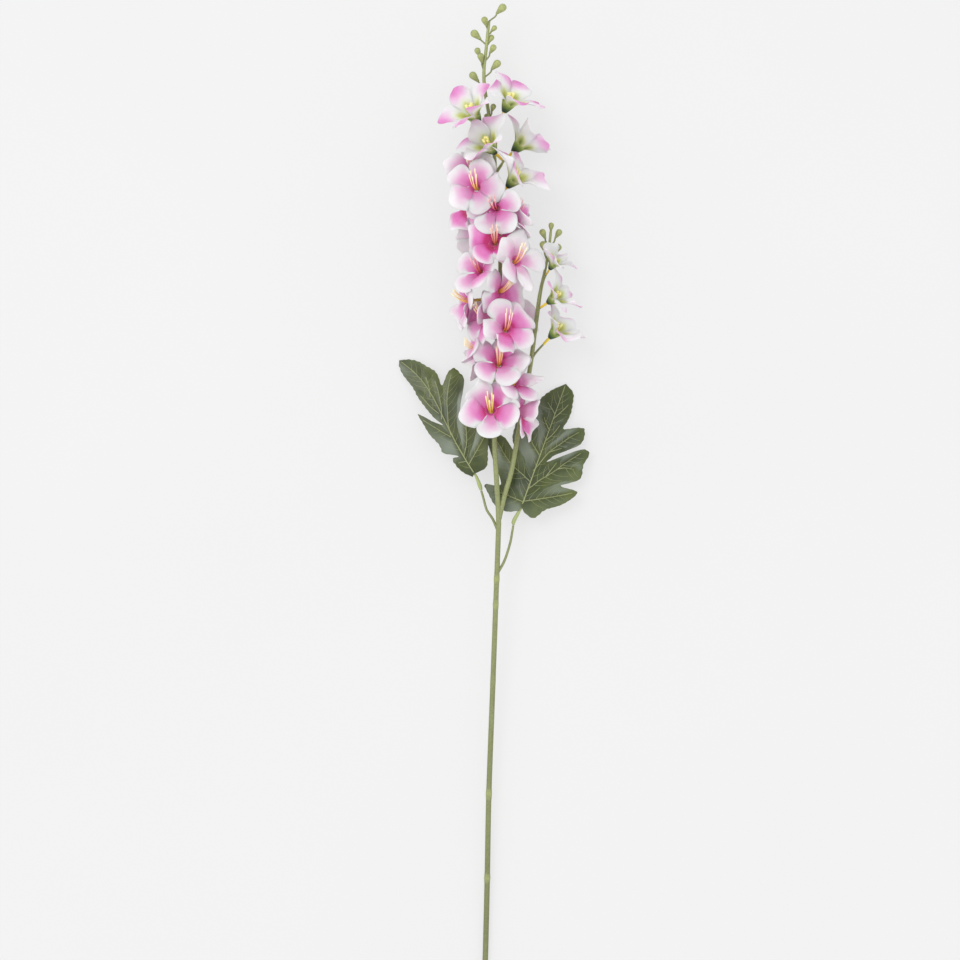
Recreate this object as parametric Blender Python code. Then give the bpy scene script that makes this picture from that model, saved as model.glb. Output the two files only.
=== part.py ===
"""A delphinium stem of fabric and plastic, laid on its side.

The stem lies along +Y with its cut end at -Y, and the side that faces up (+Z)
is the one a viewer sees. Florets stand round the upper third of the stem on
short stalks, small buds end it, a side branch carries three more florets, and
two cut leaves hang on thin stalks below them. All sizes are millimetres here
and become metres when a mesh is made.
"""

import math
import random
from dataclasses import dataclass

import bmesh
import bpy
import numpy as np
from mathutils import Vector
from mathutils.bvhtree import BVHTree

MM = 0.001
GAP = 0.35
PETALS = 5
HALF_SECTOR = math.radians(180 / PETALS)

# Thickness of the stiffened cloth of a petal and of a leaf.
PETAL_CLOTH = 0.65
LEAF_CLOTH = 0.8

# Main stem: x, y, z of its axis from the cut end to the tip of the bud spike.
STEM_LINE = [
    (-9, -450, 2.7), (-8, -420, 3.6), (-6.5, -356, 6.5), (-5, -278, 11), (-1.5, -181, 17),
    (1.5, -98, 23), (3.5, -43, 27), (3.8, -20, 29), (1.5, 21, 31.5), (0, 53, 33),
    (0.5, 86, 34.5), (2, 132, 36), (5, 168, 37), (5.2, 224, 38), (2.5, 270, 38.5),
    (-0.5, 316, 39), (-5, 348, 39), (-9, 373, 38.5), (-9.5, 390, 38), (-8, 404, 37.5),
    (-5, 434, 37),
]
STEM_RADII = [(-450, 2.6), (-20, 2.4), (53, 2.3), (224, 1.9), (348, 1.7), (434, 1.4)]

# Side branch, from the fork to the tip of its own bud spike.
BRANCH_LINE = [
    (3.8, -26, 28.5), (9.5, -2, 29), (16, 21, 28), (21.5, 52, 26), (32.5, 113, 25.5),
    (37.5, 150, 27), (40, 169, 29), (42.5, 186, 30), (47.5, 209, 31), (50.5, 227, 32),
    (52, 241, 32),
]
BRANCH_RADII = [(-26, 2.3), (52, 2.2), (169, 2.0), (209, 1.3), (241, 1.2)]

# Rings that swell the stem a little where a leaf or a shoot once sat.
STEM_JOINTS = [-356, -278, -211, -172, -104, -80]
JOINT_SWELL = 0.45
JOINT_HALF_LENGTH = 4.0

# Buds: where the stalk leaves its axis (y), the bud's middle (x, y, z) and its radius.
MAIN_BUDS = [
    (434, (7.5, 446.5, 37), 3.6), (426, (-9, 435, 40), 3.0), (421, (0, 427.5, 41), 2.4),
    (412, (-18.2, 422.5, 38), 3.6), (411, (-2.8, 419, 35), 2.7), (397, (-1, 409.5, 40), 2.9),
    (392, (-15.5, 407, 36), 2.8), (388, (-12.6, 401.5, 41), 3.0), (382, (2.5, 395, 37), 3.5),
    (372, (-19.6, 384, 39), 3.5), (345, (-1, 355, 45), 2.6), (336, (-7, 346, 47), 2.4),
]
BRANCH_BUDS = [
    (239, (52.4, 246.5, 32), 2.5), (226, (44.5, 240, 33), 3.0), (226, (59.5, 240, 31), 2.9),
    (214, (45, 228.5, 35), 3.3), (212, (58.5, 226, 33), 3.3),
]
BUD_STALK = 0.75

# A bud's rings: distance from its middle along its axis and radius, both in bud radii.
BUD_RINGS = [(-2.1, 0.42), (-0.4, 0.94), (0.45, 0.94), (1.0, 0.4)]

# How far a bud's stalk bows outward and back, as shares of its length, and where.
BUD_BOW = (0.05, -0.03)
BUD_BOW_AT = 0.4

# Radii of a floret's stalk and a leaf's stalk, from the stem to the end.
PEDICEL = (1.15, 0.9)
LEAF_STALK = (1.3, 1.0)

# A floret's stalk leaves the stem this far below its own end: a floret that faces level
# or up the stem, and one that faces down it. The topmost floret's stalk is longer.
PEDICEL_CLIMB = 13
PEDICEL_CLIMB_LOW = 9
LONG_CLIMBS = {"floret_01": 30}

# The collar at a leaf's stalk, as distance past the stalk's end and radius, and the rib
# that runs on from it under the leaf, as place along the midrib and radius.
COLLAR = [(0.5, 0.9), (5, 1.9)]
SOCKET_RIB = [(-3, 1.2), (8, 0.9), (22, 0.7), (38, 0.5)]


@dataclass
class Bloom:
    """One make of floret: a shallow or deep cup with five petals on its rim.

    Lengths are millimetres. rise and rest are the petal's angles at the rim and at its tip,
    in degrees from level; tip_share is the part of its length that bows out at the tip;
    cross curls it across; pointed goes from 0, a round tip, to 1, a sharp one. A stamen
    is this long, sweeps toward the upper petal by stamen_rise and may bend once.
    """

    rim: float
    cup: float
    length: float
    half_width: float
    tip_share: float
    rise: float
    rest: float
    cross: float
    twist: float
    pointed: float
    stamen: float
    stamen_rise: float
    stamen_bends: bool
    boss: float


OPEN = Bloom(5.0, 4.5, 22.0, 11.0, 0.38, 38, -10, -0.010, 7, 0.0, 17.0, 11.0, True, 2.1)
YOUNG = Bloom(6.0, 9.0, 27.0, 9.0, 0.45, 62, 2, 0.030, 4, 0.5, 17.0, 2.5, False, 1.6)

# Florets: kind, x, y and reach of the throat from the axis (below the axis if negative),
# turn about the stem from straight up, lift toward the tip, roll of the first petal, size.
FLORETS = [
    (YOUNG, 9, 350, 17, 55, 58, 0, 1.1),
    (YOUNG, -14, 340, 16, -45, 42, 20, 1.15),
    (YOUNG, 1, 312, 13, -45, 35, 30, 1.05),
    (YOUNG, 17, 314, -19, 100, 45, 0, 1.0),
    (YOUNG, 12, 281, 16, 60, 45, 30, 1.05),
    (OPEN, -19, 297, 20, -10, -5, 0, 1.0),
    (OPEN, -16, 279, 27, -15, 10, 18, 1.05),
    (OPEN, -19, 262, 22, -75, 10, -10, 1.0),
    (OPEN, 2, 261, 19, -15, -5, 66, 1.0),
    (OPEN, 14, 252, 13, 75, 20, 60, 1.0),
    (OPEN, 1, 229, 19, -5, 15, 0, 1.0),
    (OPEN, 17, 211, 26, 40, 15, 20, 1.1),
    (OPEN, -11, 202, 20, -40, 20, 0, 1.0),
    (OPEN, 3, 185, 15, 50, 0, 20, 1.0),
    (OPEN, -19, 177, 24.5, -75, -8, 0, 1.05),
    (OPEN, -5, 160, 16, -60, 10, 0, 1.0),
    (OPEN, 10, 149, 25, 15, 20, 50, 1.05),
    (OPEN, -10, 132, 13, -80, -5, 18, 1.0),
    (OPEN, 4, 117, 18, 5, 30, 15, 1.05),
    (OPEN, 16, 99, 21, 35, 30, 10, 1.0),
    (OPEN, -3, 75, 21, -5, 12, 36, 1.1),
    (OPEN, 19, 74, 22, 80, -5, 0, 1.0),
    (OPEN, -8, 235, -20, -150, 15, 0, 1.0),
    (OPEN, 14, 160, -20, 150, 15, 0, 1.0),
]
SIDE_FLORETS = [
    (YOUNG, 51, 206, 9, 50, 50, 0, 0.7),
    (YOUNG, 49, 175, 12, 60, 30, 0, 0.9),
    (YOUNG, 51, 143, 15, 60, 42, 0, 0.95),
]

# Leaves. A row gives a place along the midrib and the two margin points, left and right,
# that it fans out to, in the leaf's own plane with its base at 0 and its tip along +Y.
LEFT_LEAF = [
    (-1, (-3, -3), (2.5, -2)),
    (2, (-5, 0), (13, -2)),
    (5, (-8, 5), (22, 9.5)),
    (8, (-10, 13), (31, 23.5)),
    (12, (-9.5, 21), (26, 31.5)),
    (16, (-3.5, 20), (37, 42)),
    (20, (-7, 24), (40.5, 63.5)),
    (25, (-13.5, 30.5), (33, 61)),
    (31, (-12.5, 39), (19.5, 51.5)),
    (35.5, (-14.5, 51), (25, 59.5)),
    (38, (-14, 63), (39.5, 75.5)),
    (41, (-13, 73), (40, 84.5)),
    (44.5, (-6.5, 61.5), (38, 90.5)),
    (47, (0.5, 52.2), (31, 90)),
    (57, (-2.5, 62), (20, 83)),
    (66, (-4, 75), (21.5, 91)),
    (76, (-4.5, 87), (22, 97.5)),
    (88, (-3.5, 97), (18, 106)),
    (100, (-4.5, 111), (14, 114)),
    (111, (-3, 120), (7.5, 120.5)),
    (124.5, (0, 124.5), (0, 124.5)),
]
RIGHT_LEAF = [
    (-3, (-1, -7), (4, -7)),
    (-1, (-11, -11.5), (14, -9)),
    (1, (-23, -10), (22, 2)),
    (3, (-33, -1.5), (35.5, 12.5)),
    (5, (-38.5, 5.5), (44, 27)),
    (9, (-25, 10.5), (27.5, 27.5)),
    (13, (-41.5, 32), (42, 39)),
    (17, (-54, 51), (41, 53)),
    (21, (-37.5, 52.5), (42.5, 64.5)),
    (25, (-28, 46), (33.5, 65)),
    (30, (-21.5, 43.2), (9.3, 44.8)),
    (36, (-29, 53.5), (10.5, 48.5)),
    (43, (-30.8, 67.5), (13.5, 52.8)),
    (44.5, (-30.2, 69.2), (22.5, 60.5)),
    (46, (-28.5, 69.4), (32.5, 71)),
    (48.5, (-24.5, 69), (31.5, 83)),
    (52, (-20, 68.3), (26, 84)),
    (57, (-16, 67), (12.5, 78)),
    (66, (-19, 82), (13.5, 86)),
    (78, (-19, 90), (14, 94)),
    (90, (-16.5, 98), (13, 101)),
    (104, (-10, 108), (10, 112)),
    (118, (0.5, 118), (0.5, 118)),
]


@dataclass
class Leaf:
    """One leaf: the base of its blade, its heading, and how its blade sags."""

    name: str
    base: tuple
    heading: float
    bow: float
    slope: float
    arch: float
    sag_left: float
    sag_right: float
    outline: list
    stalk: list


LEAVES = [
    Leaf("left", (-19, 19, 22.5), 33.6, 7.5, -0.03, -0.00118, -0.0030, -0.0010, LEFT_LEAF,
         [(2.5, -33, 28), (-1.5, -24, 27), (-7, -15.5, 24.5), (-10, -5, 22), (-12, 2, 21)]),
    Leaf("right", (26, -10, 21), -19.7, 0.0, -0.06, -0.00096, -0.0030, -0.0020, RIGHT_LEAF,
         [(3, -74, 24.5), (9.5, -62, 25), (14.5, -46.5, 23), (16.5, -36, 21), (17.5, -30, 20)]),
]


def clear_scene():
    for thing in list(bpy.data.objects):
        bpy.data.objects.remove(thing, do_unlink=True)


def material(name, color, roughness):
    made = bpy.data.materials.new(name)
    made.use_nodes = True
    shader = made.node_tree.nodes["Principled BSDF"]
    shader.inputs["Base Color"].default_value = (*color, 1.0)
    shader.inputs["Roughness"].default_value = roughness
    shader.inputs["Metallic"].default_value = 0.0
    made.diffuse_color = (*color, 1.0)
    return made


def shade_round(mesh):
    mesh.shade_smooth()
    mesh.set_sharp_from_angle(angle=math.radians(50))


def place(name, mesh, finish):
    thing = bpy.data.objects.new(name, mesh)
    bpy.context.scene.collection.objects.link(thing)
    mesh.materials.clear()
    mesh.materials.append(finish)
    return thing


def smooth_line(points, steps):
    """Catmull-Rom curve through the points, with this many steps between each two."""
    given = np.array(points, float)
    ends = np.vstack([2 * given[0] - given[1], given, 2 * given[-1] - given[-2]])
    share = np.linspace(0, 1, steps, endpoint=False)[:, None]
    runs = []
    for i in range(1, len(ends) - 2):
        before, here, after, beyond = ends[i - 1:i + 3]
        out, back = (after - before) / 2, (beyond - here) / 2
        runs.append(
            here + out * share
            + (3 * (after - here) - 2 * out - back) * share ** 2
            + (2 * (here - after) + out + back) * share ** 3
        )
    return np.vstack([*runs, given[-1:]])


def axis_at(line, y):
    """The point of an axis at this distance along the stem."""
    dense = smooth_line(line, 12)
    return np.array([np.interp(y, dense[:, 1], dense[:, 0]), y, np.interp(y, dense[:, 1], dense[:, 2])])


def rod(points, radii, side_pairs):
    """A closed tube through the points, as a bevelled curve turned into a mesh."""
    data = bpy.data.curves.new("rod", "CURVE")
    data.dimensions = "3D"
    data.bevel_depth = 1.0 * MM
    data.bevel_resolution = side_pairs
    data.use_fill_caps = True
    spline = data.splines.new("POLY")
    spline.points.add(len(points) - 1)
    for knot, point, radius in zip(spline.points, points, radii):
        knot.co = (*(np.asarray(point) * MM), 1.0)
        knot.radius = radius
    thing = bpy.data.objects.new("rod", data)
    bpy.context.scene.collection.objects.link(thing)
    bpy.context.view_layer.update()
    mesh = bpy.data.meshes.new_from_object(thing.evaluated_get(bpy.context.evaluated_depsgraph_get()))
    bpy.data.objects.remove(thing, do_unlink=True)
    edit = bmesh.new()
    edit.from_mesh(mesh)
    bmesh.ops.remove_doubles(edit, verts=edit.verts, dist=0.01 * MM)
    bmesh.ops.recalc_face_normals(edit, faces=edit.faces)
    edit.to_mesh(mesh)
    edit.free()
    solid = bpy.data.objects.new("rod", mesh)
    bpy.context.scene.collection.objects.link(solid)
    return solid


def axis_rod(line, radii, steps, side_pairs):
    points = smooth_line(line, steps)
    thick = np.interp(points[:, 1], *np.array(radii).T)
    return rod(points, thick, side_pairs)


def main_rod():
    """The main stem: its axis with two more rings at each joint, which swells there."""
    points = smooth_line(STEM_LINE, 1)
    places = [joint + side * JOINT_HALF_LENGTH for joint in STEM_JOINTS for side in (-1, 0, 1)]
    points = np.vstack([points, [axis_at(STEM_LINE, y) for y in places]])
    points = points[np.argsort(points[:, 1])]
    points = points[np.append(np.diff(points[:, 1]) > 1, True)]
    thick = np.interp(points[:, 1], *np.array(STEM_RADII).T)
    near = np.abs(points[:, 1][:, None] - np.array(STEM_JOINTS)).min(axis=1)
    thick += JOINT_SWELL * (near < JOINT_HALF_LENGTH / 2)
    return rod(points, thick, 2)


def fuse(name, pieces, finish):
    """One solid from overlapping ones."""
    body, rest = pieces[0], pieces[1:]
    group = bpy.data.collections.new(name + "_pieces")
    for piece in rest:
        group.objects.link(piece)
    union = body.modifiers.new("union", "BOOLEAN")
    union.operation = "UNION"
    union.operand_type = "COLLECTION"
    union.collection = group
    union.solver = "EXACT"
    bpy.context.view_layer.update()
    mesh = bpy.data.meshes.new_from_object(body.evaluated_get(bpy.context.evaluated_depsgraph_get()))
    for piece in pieces:
        bpy.data.objects.remove(piece, do_unlink=True)
    bpy.data.collections.remove(group)
    return place(name, mesh, finish)


def bud(line, start, middle, radius):
    """A drop-shaped bud on a thin stalk that leaves the axis steeply."""
    root = axis_at(line, start)
    middle = np.array(middle, float)
    run = middle - root
    heading = run / np.linalg.norm(run)
    outward = np.array([*BUD_BOW, 0]) * np.linalg.norm(run) * np.sign(run[0])
    points = [root, root + run * BUD_BOW_AT + outward]
    radii = [BUD_STALK, BUD_STALK]
    for along, thick in BUD_RINGS:
        points.append(middle + along * radius * heading)
        radii.append(thick * radius)
    return rod(points, radii, 1)


class Floret:
    """One floret, placed: its frame of axes in the stem's frame and its own small differences."""

    def __init__(self, name, line, row, seed):
        kind, x, y, reach, turn, lift, roll, size = row
        self.name, self.kind, self.line, self.size = name, kind, line, size
        axis = axis_at(line, y)
        side = x - axis[0]
        height = math.sqrt(max(reach ** 2 - side ** 2, 0))
        self.throat = np.array([x, y, axis[2] + math.copysign(height, reach)])
        turn, lift = math.radians(turn), math.radians(lift)
        self.facing = np.array(
            [math.sin(turn) * math.cos(lift), math.sin(lift), math.cos(turn) * math.cos(lift)]
        )
        up = np.array([0, 1, 0]) - self.facing[1] * self.facing
        self.up = up / np.linalg.norm(up)
        self.right = np.cross(self.up, self.facing)
        draw = random.Random(seed)
        self.petals = [
            {
                "around": math.radians(roll + 360 / PETALS * i + draw.uniform(-4, 4)),
                "rise": math.radians(kind.rise + draw.uniform(-7, 7)),
                "rest": math.radians(kind.rest + draw.uniform(-14, 14)),
                "long": kind.length * draw.uniform(0.93, 1.05),
                "twist": math.radians(kind.twist + draw.uniform(-3, 3)),
                "wave": draw.uniform(0, 2 * math.pi),
            }
            for i in range(PETALS)
        ]

    def point(self, local):
        """From the floret's own axes (right, up, facing) to the stem's frame."""
        axes = np.array([self.right, self.up, self.facing])
        return self.throat + self.size * (np.asarray(local) @ axes)


# How far a petal's margin waves, how late it widens from the rim (so that neighbours part
# before they pass each other), the radius of the hole at a cup's foot, and how many steps
# a petal's grid has along and across.
WAVE = 0.9
WIDENS = 2.1
HOLE = 2.1
ROWS, COLUMNS = 3, 4

# Between the middles of two cloths that pass each other: half a cloth and a little air, twice.
# Petals of one floret may pass closer, and meet at the rim.
CLEAR = PETAL_CLOTH / 2 + 0.2
OWN_CLEAR = PETAL_CLOTH / 2 + 0.05

# Ways a petal gives where it would meet another: more or less rise from the cup, more or
# less level at its tip (degrees), and how much of its length is left, gentlest first.
GIVES = sorted(
    [(rise, rest, 1.0) for rise in range(-40, 41, 10) for rest in range(-60, 61, 15)],
    key=lambda give: abs(give[0]) + abs(give[1]),
)
GIVES += [(rise, rest, long) for long in (0.9, 0.8, 0.7) for rise, rest, _ in GIVES[:60]]


def petal_points(kind, petal, rows, columns):
    """Grid of one petal from the cup's rim (first row) to its tip (last row).

    Across, the row widens from the rim's arc to the petal's full width; along,
    the last row bows out as half an ellipse or a point. The strip then bends
    up from the rim and levels out, and its margin waves.
    """
    s = np.linspace(0, 1, rows + 1)[:, None]
    t = np.linspace(-1, 1, columns + 1)[None, :]
    wide = np.sin(math.pi / 2 * s) ** WIDENS
    x = (1 - wide) * kind.rim * np.sin(HALF_SECTOR * t) + wide * kind.half_width * np.sin(math.pi / 2 * t)
    round_tip = np.cos(math.pi / 2 * t)
    sharp_tip = 1 - np.abs(np.sin(math.pi / 2 * t)) ** 1.15
    tip = (1 - kind.pointed) * round_tip + kind.pointed * sharp_tip
    along = petal["long"] * ((1 - kind.tip_share) * s + kind.tip_share * s ** 1.5 * tip)
    bend = (petal["rest"] - petal["rise"]) / petal["long"]
    slope = petal["rise"] + bend * along
    out = kind.rim + (np.sin(slope) - math.sin(petal["rise"])) / bend
    out = out + kind.rim * (np.cos(HALF_SECTOR * t) - 1) * (1 - s) ** 2
    high = kind.cup - (np.cos(slope) - math.cos(petal["rise"])) / bend
    twist = petal["twist"] * s * (2 - s)
    wave = WAVE * s ** 2 * t ** 2 * np.sin(2.5 * t + petal["wave"])
    off = kind.cross * x ** 2 * s + x * np.sin(twist) + wave
    out = out - off * np.sin(slope)
    high = high + off * np.cos(slope)
    x = x * np.cos(twist)
    c, d = math.cos(petal["around"]), math.sin(petal["around"])
    return np.stack(np.broadcast_arrays(x * c + out * d, out * c - x * d, high), axis=-1)


def cup_points(floret):
    """Grid of the cup, from the hole at its foot to its rim."""
    kind = floret.kind
    hole = HOLE + 0.3 * (1 / floret.size - 1)
    angles = np.linspace(0, 2 * math.pi, 2 * PETALS + 1) + floret.petals[0]["around"] - HALF_SECTOR
    ring = np.stack([np.sin(angles), np.cos(angles)], axis=-1)
    foot = np.pad(hole * ring, ((0, 0), (0, 1)))
    rim = np.pad(kind.rim * ring, ((0, 0), (0, 1)), constant_values=kind.cup)
    return np.stack([foot, rim])


def shell(points, clear):
    """Triangles in a grid of points and in two layers beside it, as a tree to test for contact."""
    across = np.cross(*np.gradient(points, axis=(0, 1)))
    across /= np.linalg.norm(across, axis=2, keepdims=True)
    rows, columns = points.shape[:2]
    index = np.arange(rows * columns).reshape(rows, columns)
    a, b, c, d = index[:-1, :-1], index[1:, :-1], index[1:, 1:], index[:-1, 1:]
    faces = np.concatenate([np.stack([a, b, c], -1).reshape(-1, 3), np.stack([a, c, d], -1).reshape(-1, 3)])
    layers = [points + side * clear * across for side in (-1, 0, 1)]
    corners = np.concatenate(layers).reshape(-1, 3)
    every = np.concatenate([faces + k * rows * columns for k in range(3)])
    return BVHTree.FromPolygons(corners.tolist(), every.tolist()), corners.min(axis=0), corners.max(axis=0)


def mesh_tree(mesh):
    mesh.calc_loop_triangles()
    corners = np.array([vertex.co for vertex in mesh.vertices]) / MM
    faces = [tuple(triangle.vertices) for triangle in mesh.loop_triangles]
    return BVHTree.FromPolygons(corners.tolist(), faces), corners.min(axis=0), corners.max(axis=0)


def meets(one, other):
    apart = (one[1] > other[2]).any() or (other[1] > one[2]).any()
    return not apart and bool(one[0].overlap(other[0]))


def settle(florets, stem, hearts):
    """Bend each petal clear of what is already in place, as pressed cloth gives way.

    The florets that stand highest, and so nearest to the viewer, keep their shape.
    """
    cups = [shell(floret.point(cup_points(floret)), CLEAR) for floret in florets]
    placed = []
    for i in sorted(range(len(florets)), key=lambda k: -florets[k].throat[2]):
        floret = florets[i]
        fixed = [stem] + [tree for k in range(len(florets)) if k != i for tree in (cups[k], hearts[k])]
        own, beyond_rim = [], []
        for petal in floret.petals:
            first = dict(petal)
            for rise, rest, long in GIVES:
                petal["rise"] = first["rise"] + math.radians(rise)
                petal["rest"] = first["rest"] + math.radians(rest)
                petal["long"] = first["long"] * long
                grid = floret.point(petal_points(floret.kind, petal, ROWS, COLUMNS))
                outer = shell(grid[1:], OWN_CLEAR)
                if any(meets(outer, other) for other in beyond_rim):
                    continue
                tree = shell(grid, CLEAR)
                if tree[1][2] > 0.1 and not any(meets(tree, other) for other in fixed + placed):
                    break
            else:
                raise ValueError(floret.name + " has a petal that meets another however it bends")
            own.append(tree)
            beyond_rim.append(outer)
        placed += own


def petals_mesh(floret, rows=ROWS, columns=COLUMNS):
    """The cloth of one floret: a cup with a hole at its foot and five petals on its rim."""
    kind = floret.kind
    edit = bmesh.new()
    steps = columns // 2
    foot = [edit.verts.new(floret.point(p) * MM) for p in cup_points(floret)[0][:-1]]
    rims = []
    for petal in floret.petals:
        grid = petal_points(kind, petal, rows, columns)
        rims.append([[edit.verts.new(floret.point(p) * MM) for p in row] for row in grid])
    for i, grid in enumerate(rims):
        follow = rims[(i + 1) % PETALS]
        shared = follow[0][0]
        shared.co = (shared.co + grid[0][-1].co) / 2
        edit.verts.remove(grid[0][-1])
        grid[0][-1] = shared
    for i, grid in enumerate(rims):
        for low, high in zip(grid, grid[1:]):
            for j in range(columns):
                edit.faces.new((low[j], high[j], high[j + 1]))
                edit.faces.new((low[j], high[j + 1], low[j + 1]))
        for j in range(steps):
            inner, after = foot[i * steps + j], foot[(i * steps + j + 1) % len(foot)]
            left, middle, right = grid[0][2 * j:2 * j + 3]
            edit.faces.new((inner, left, middle))
            edit.faces.new((inner, middle, after))
            edit.faces.new((after, middle, right))
    bmesh.ops.recalc_face_normals(edit, faces=edit.faces)
    mesh = bpy.data.meshes.new(floret.name + "_petals")
    edit.to_mesh(mesh)
    edit.free()
    return mesh


def thicken(thing, thickness):
    cloth = thing.modifiers.new("cloth", "SOLIDIFY")
    cloth.thickness = thickness * MM
    cloth.offset = 0.0
    cloth.use_quality_normals = True


PEG_LENGTH = 9.5
PEG_GAP = 0.5

# The heart's rings, as height along the floret's axis and radius: the peg, narrow where
# it ends and through the hole in the cup. Above the hole it flares into the boss.
PEG_RINGS = [(-PEG_LENGTH, 1.2), (0.6, 1.35)]
BOSS_HEIGHT = 1.9

# A stamen's rings: share of its length, distance from the floret's axis, half-thickness.
BENT_STAMEN = [(0.5, 1.8, 0.55), (1.0, 3.4, 0.5)]
SHORT_STAMEN = [(1.0, 2.6, 0.5)]


def heart_mesh(floret):
    """The plastic heart: a peg behind the cloth, a boss in the throat and five stamens on it."""
    kind = floret.kind
    rings = PEG_RINGS + [(BOSS_HEIGHT, kind.boss)]
    edit = bmesh.new()
    angles = [2 * math.pi * i / PETALS for i in range(PETALS)]
    grid = [
        [edit.verts.new(floret.point((r * math.sin(a), r * math.cos(a), z)) * MM) for a in angles]
        for z, r in rings
    ]
    edit.faces.new(grid[0])
    for low, high in zip(grid, grid[1:]):
        for i in range(PETALS):
            j = (i + 1) % PETALS
            edit.faces.new((low[i], low[j], high[j], high[i]))
    top = edit.verts.new(floret.point((0, 0, rings[-1][0])) * MM)
    for i in range(PETALS):
        j = (i + 1) % PETALS
        ring = [top, grid[-1][i], grid[-1][j]]
        mid = angles[i] + math.pi / PETALS
        for share, spread, thick in BENT_STAMEN if kind.stamen_bends else SHORT_STAMEN:
            centre = np.array([spread * math.sin(mid), spread * math.cos(mid) + kind.stamen_rise * share ** 2,
                               rings[-1][0] + share * kind.stamen])
            corners = [
                edit.verts.new(floret.point(centre + thick * np.array([math.sin(b), math.cos(b), 0])) * MM)
                for b in (mid + math.pi, mid - math.pi / 3, mid + math.pi / 3)
            ]
            for k in range(3):
                m = (k + 1) % 3
                edit.faces.new((ring[k], ring[m], corners[m], corners[k]))
            ring = corners
        edit.faces.new(ring)
    bmesh.ops.triangulate(edit, faces=edit.faces)
    bmesh.ops.recalc_face_normals(edit, faces=edit.faces)
    mesh = bpy.data.meshes.new(floret.name + "_heart")
    edit.to_mesh(mesh)
    edit.free()
    return mesh


def pedicel(floret):
    """The stalk from the axis to just behind the peg, an S that leaves up the stem."""
    end = floret.point((0, 0, -PEG_LENGTH - PEG_GAP / floret.size))
    faces_down = floret.facing[1] < -0.05
    climb = PEDICEL_CLIMB_LOW if faces_down else PEDICEL_CLIMB
    root = axis_at(floret.line, end[1] - LONG_CLIMBS.get(floret.name, climb))
    outward = end - root
    outward[1] = 0
    outward /= np.linalg.norm(outward)
    span = np.linalg.norm(end - root)
    leave = span * (0.5 * outward + np.array([0, 0.8, 0]))
    arrive = span * 0.9 * floret.facing
    share = np.array([0, 0.3, 0.6, 0.85, 1.0])[:, None]
    points = (
        (2 * share ** 3 - 3 * share ** 2 + 1) * root + (share ** 3 - 2 * share ** 2 + share) * leave
        + (3 * share ** 2 - 2 * share ** 3) * end + (share ** 3 - share ** 2) * arrive
    )
    return rod(points, np.linspace(*PEDICEL, len(points)), 0)


def leaf_height(leaf, u, v):
    """Height of the blade above its base: it slopes and arches along, and sags to each side."""
    sag = np.where(u < 0, leaf.sag_left, leaf.sag_right)
    return leaf.slope * v + leaf.arch * v ** 2 + sag * u ** 2


def leaf_bow(leaf, rib):
    """How far the midrib swings to the right of a straight line at this place along it."""
    length, (across, _) = leaf.outline[-1][:2]
    share = max(rib, 0) / length
    return leaf.bow * math.sin(math.pi * share ** 2) + across * share


def leaf_rows(leaf, columns):
    """Points of the blade, row by row, from the left margin over the midrib to the right one."""
    share = np.linspace(0, 1, columns + 1)[:, None]
    for rib, left, right in leaf.outline:
        middle = np.array([leaf_bow(leaf, rib), rib])
        outward = [middle + (np.array(side) - middle) * share for side in (left, right)]
        yield np.vstack([outward[0][::-1], outward[1][1:]])


def to_stem(leaf, local):
    """From a leaf's own axes to the stem's frame."""
    heading = math.radians(leaf.heading)
    c, d = math.cos(heading), math.sin(heading)
    turned = np.array([[c, -d, 0], [d, c, 0], [0, 0, 1]]) @ np.asarray(local, float)
    return np.array(leaf.base) + turned


def socket(leaf):
    """The plastic rib that slips over the leaf's stalk, swells, and runs on under the midrib."""
    end, before = np.array(leaf.stalk[-1]), np.array(leaf.stalk[-2])
    heading = (end - before) / np.linalg.norm(end - before)
    points = [end + along * heading for along, _ in COLLAR]
    radii = [radius for _, radius in COLLAR]
    for rib, radius in SOCKET_RIB:
        below = LEAF_CLOTH / 2 + GAP + radius
        u = leaf_bow(leaf, rib)
        points.append(to_stem(leaf, (u, rib, leaf_height(leaf, 0, rib) - below)))
        radii.append(radius)
    return rod(points, radii, 1)


def leaf_mesh(leaf, columns=2):
    """The blade: from each place on the midrib the cloth fans out to a point of each margin."""
    edit = bmesh.new()
    seen = {}
    grid = []
    for row in leaf_rows(leaf, columns):
        grid.append([])
        for u, v in row:
            key = (round(u, 3), round(v, 3))
            if key not in seen:
                seen[key] = edit.verts.new(np.array([u, v, leaf_height(leaf, u, v)]) * MM)
            grid[-1].append(seen[key])
    for low, high in zip(grid, grid[1:]):
        for j in range(2 * columns):
            for corners in ((low[j], low[j + 1], high[j + 1]), (low[j], high[j + 1], high[j])):
                if len(set(corners)) == 3:
                    edit.faces.new(corners)
    bmesh.ops.recalc_face_normals(edit, faces=edit.faces)
    mesh = bpy.data.meshes.new("leaf_" + leaf.name)
    edit.to_mesh(mesh)
    edit.free()
    return mesh


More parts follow.
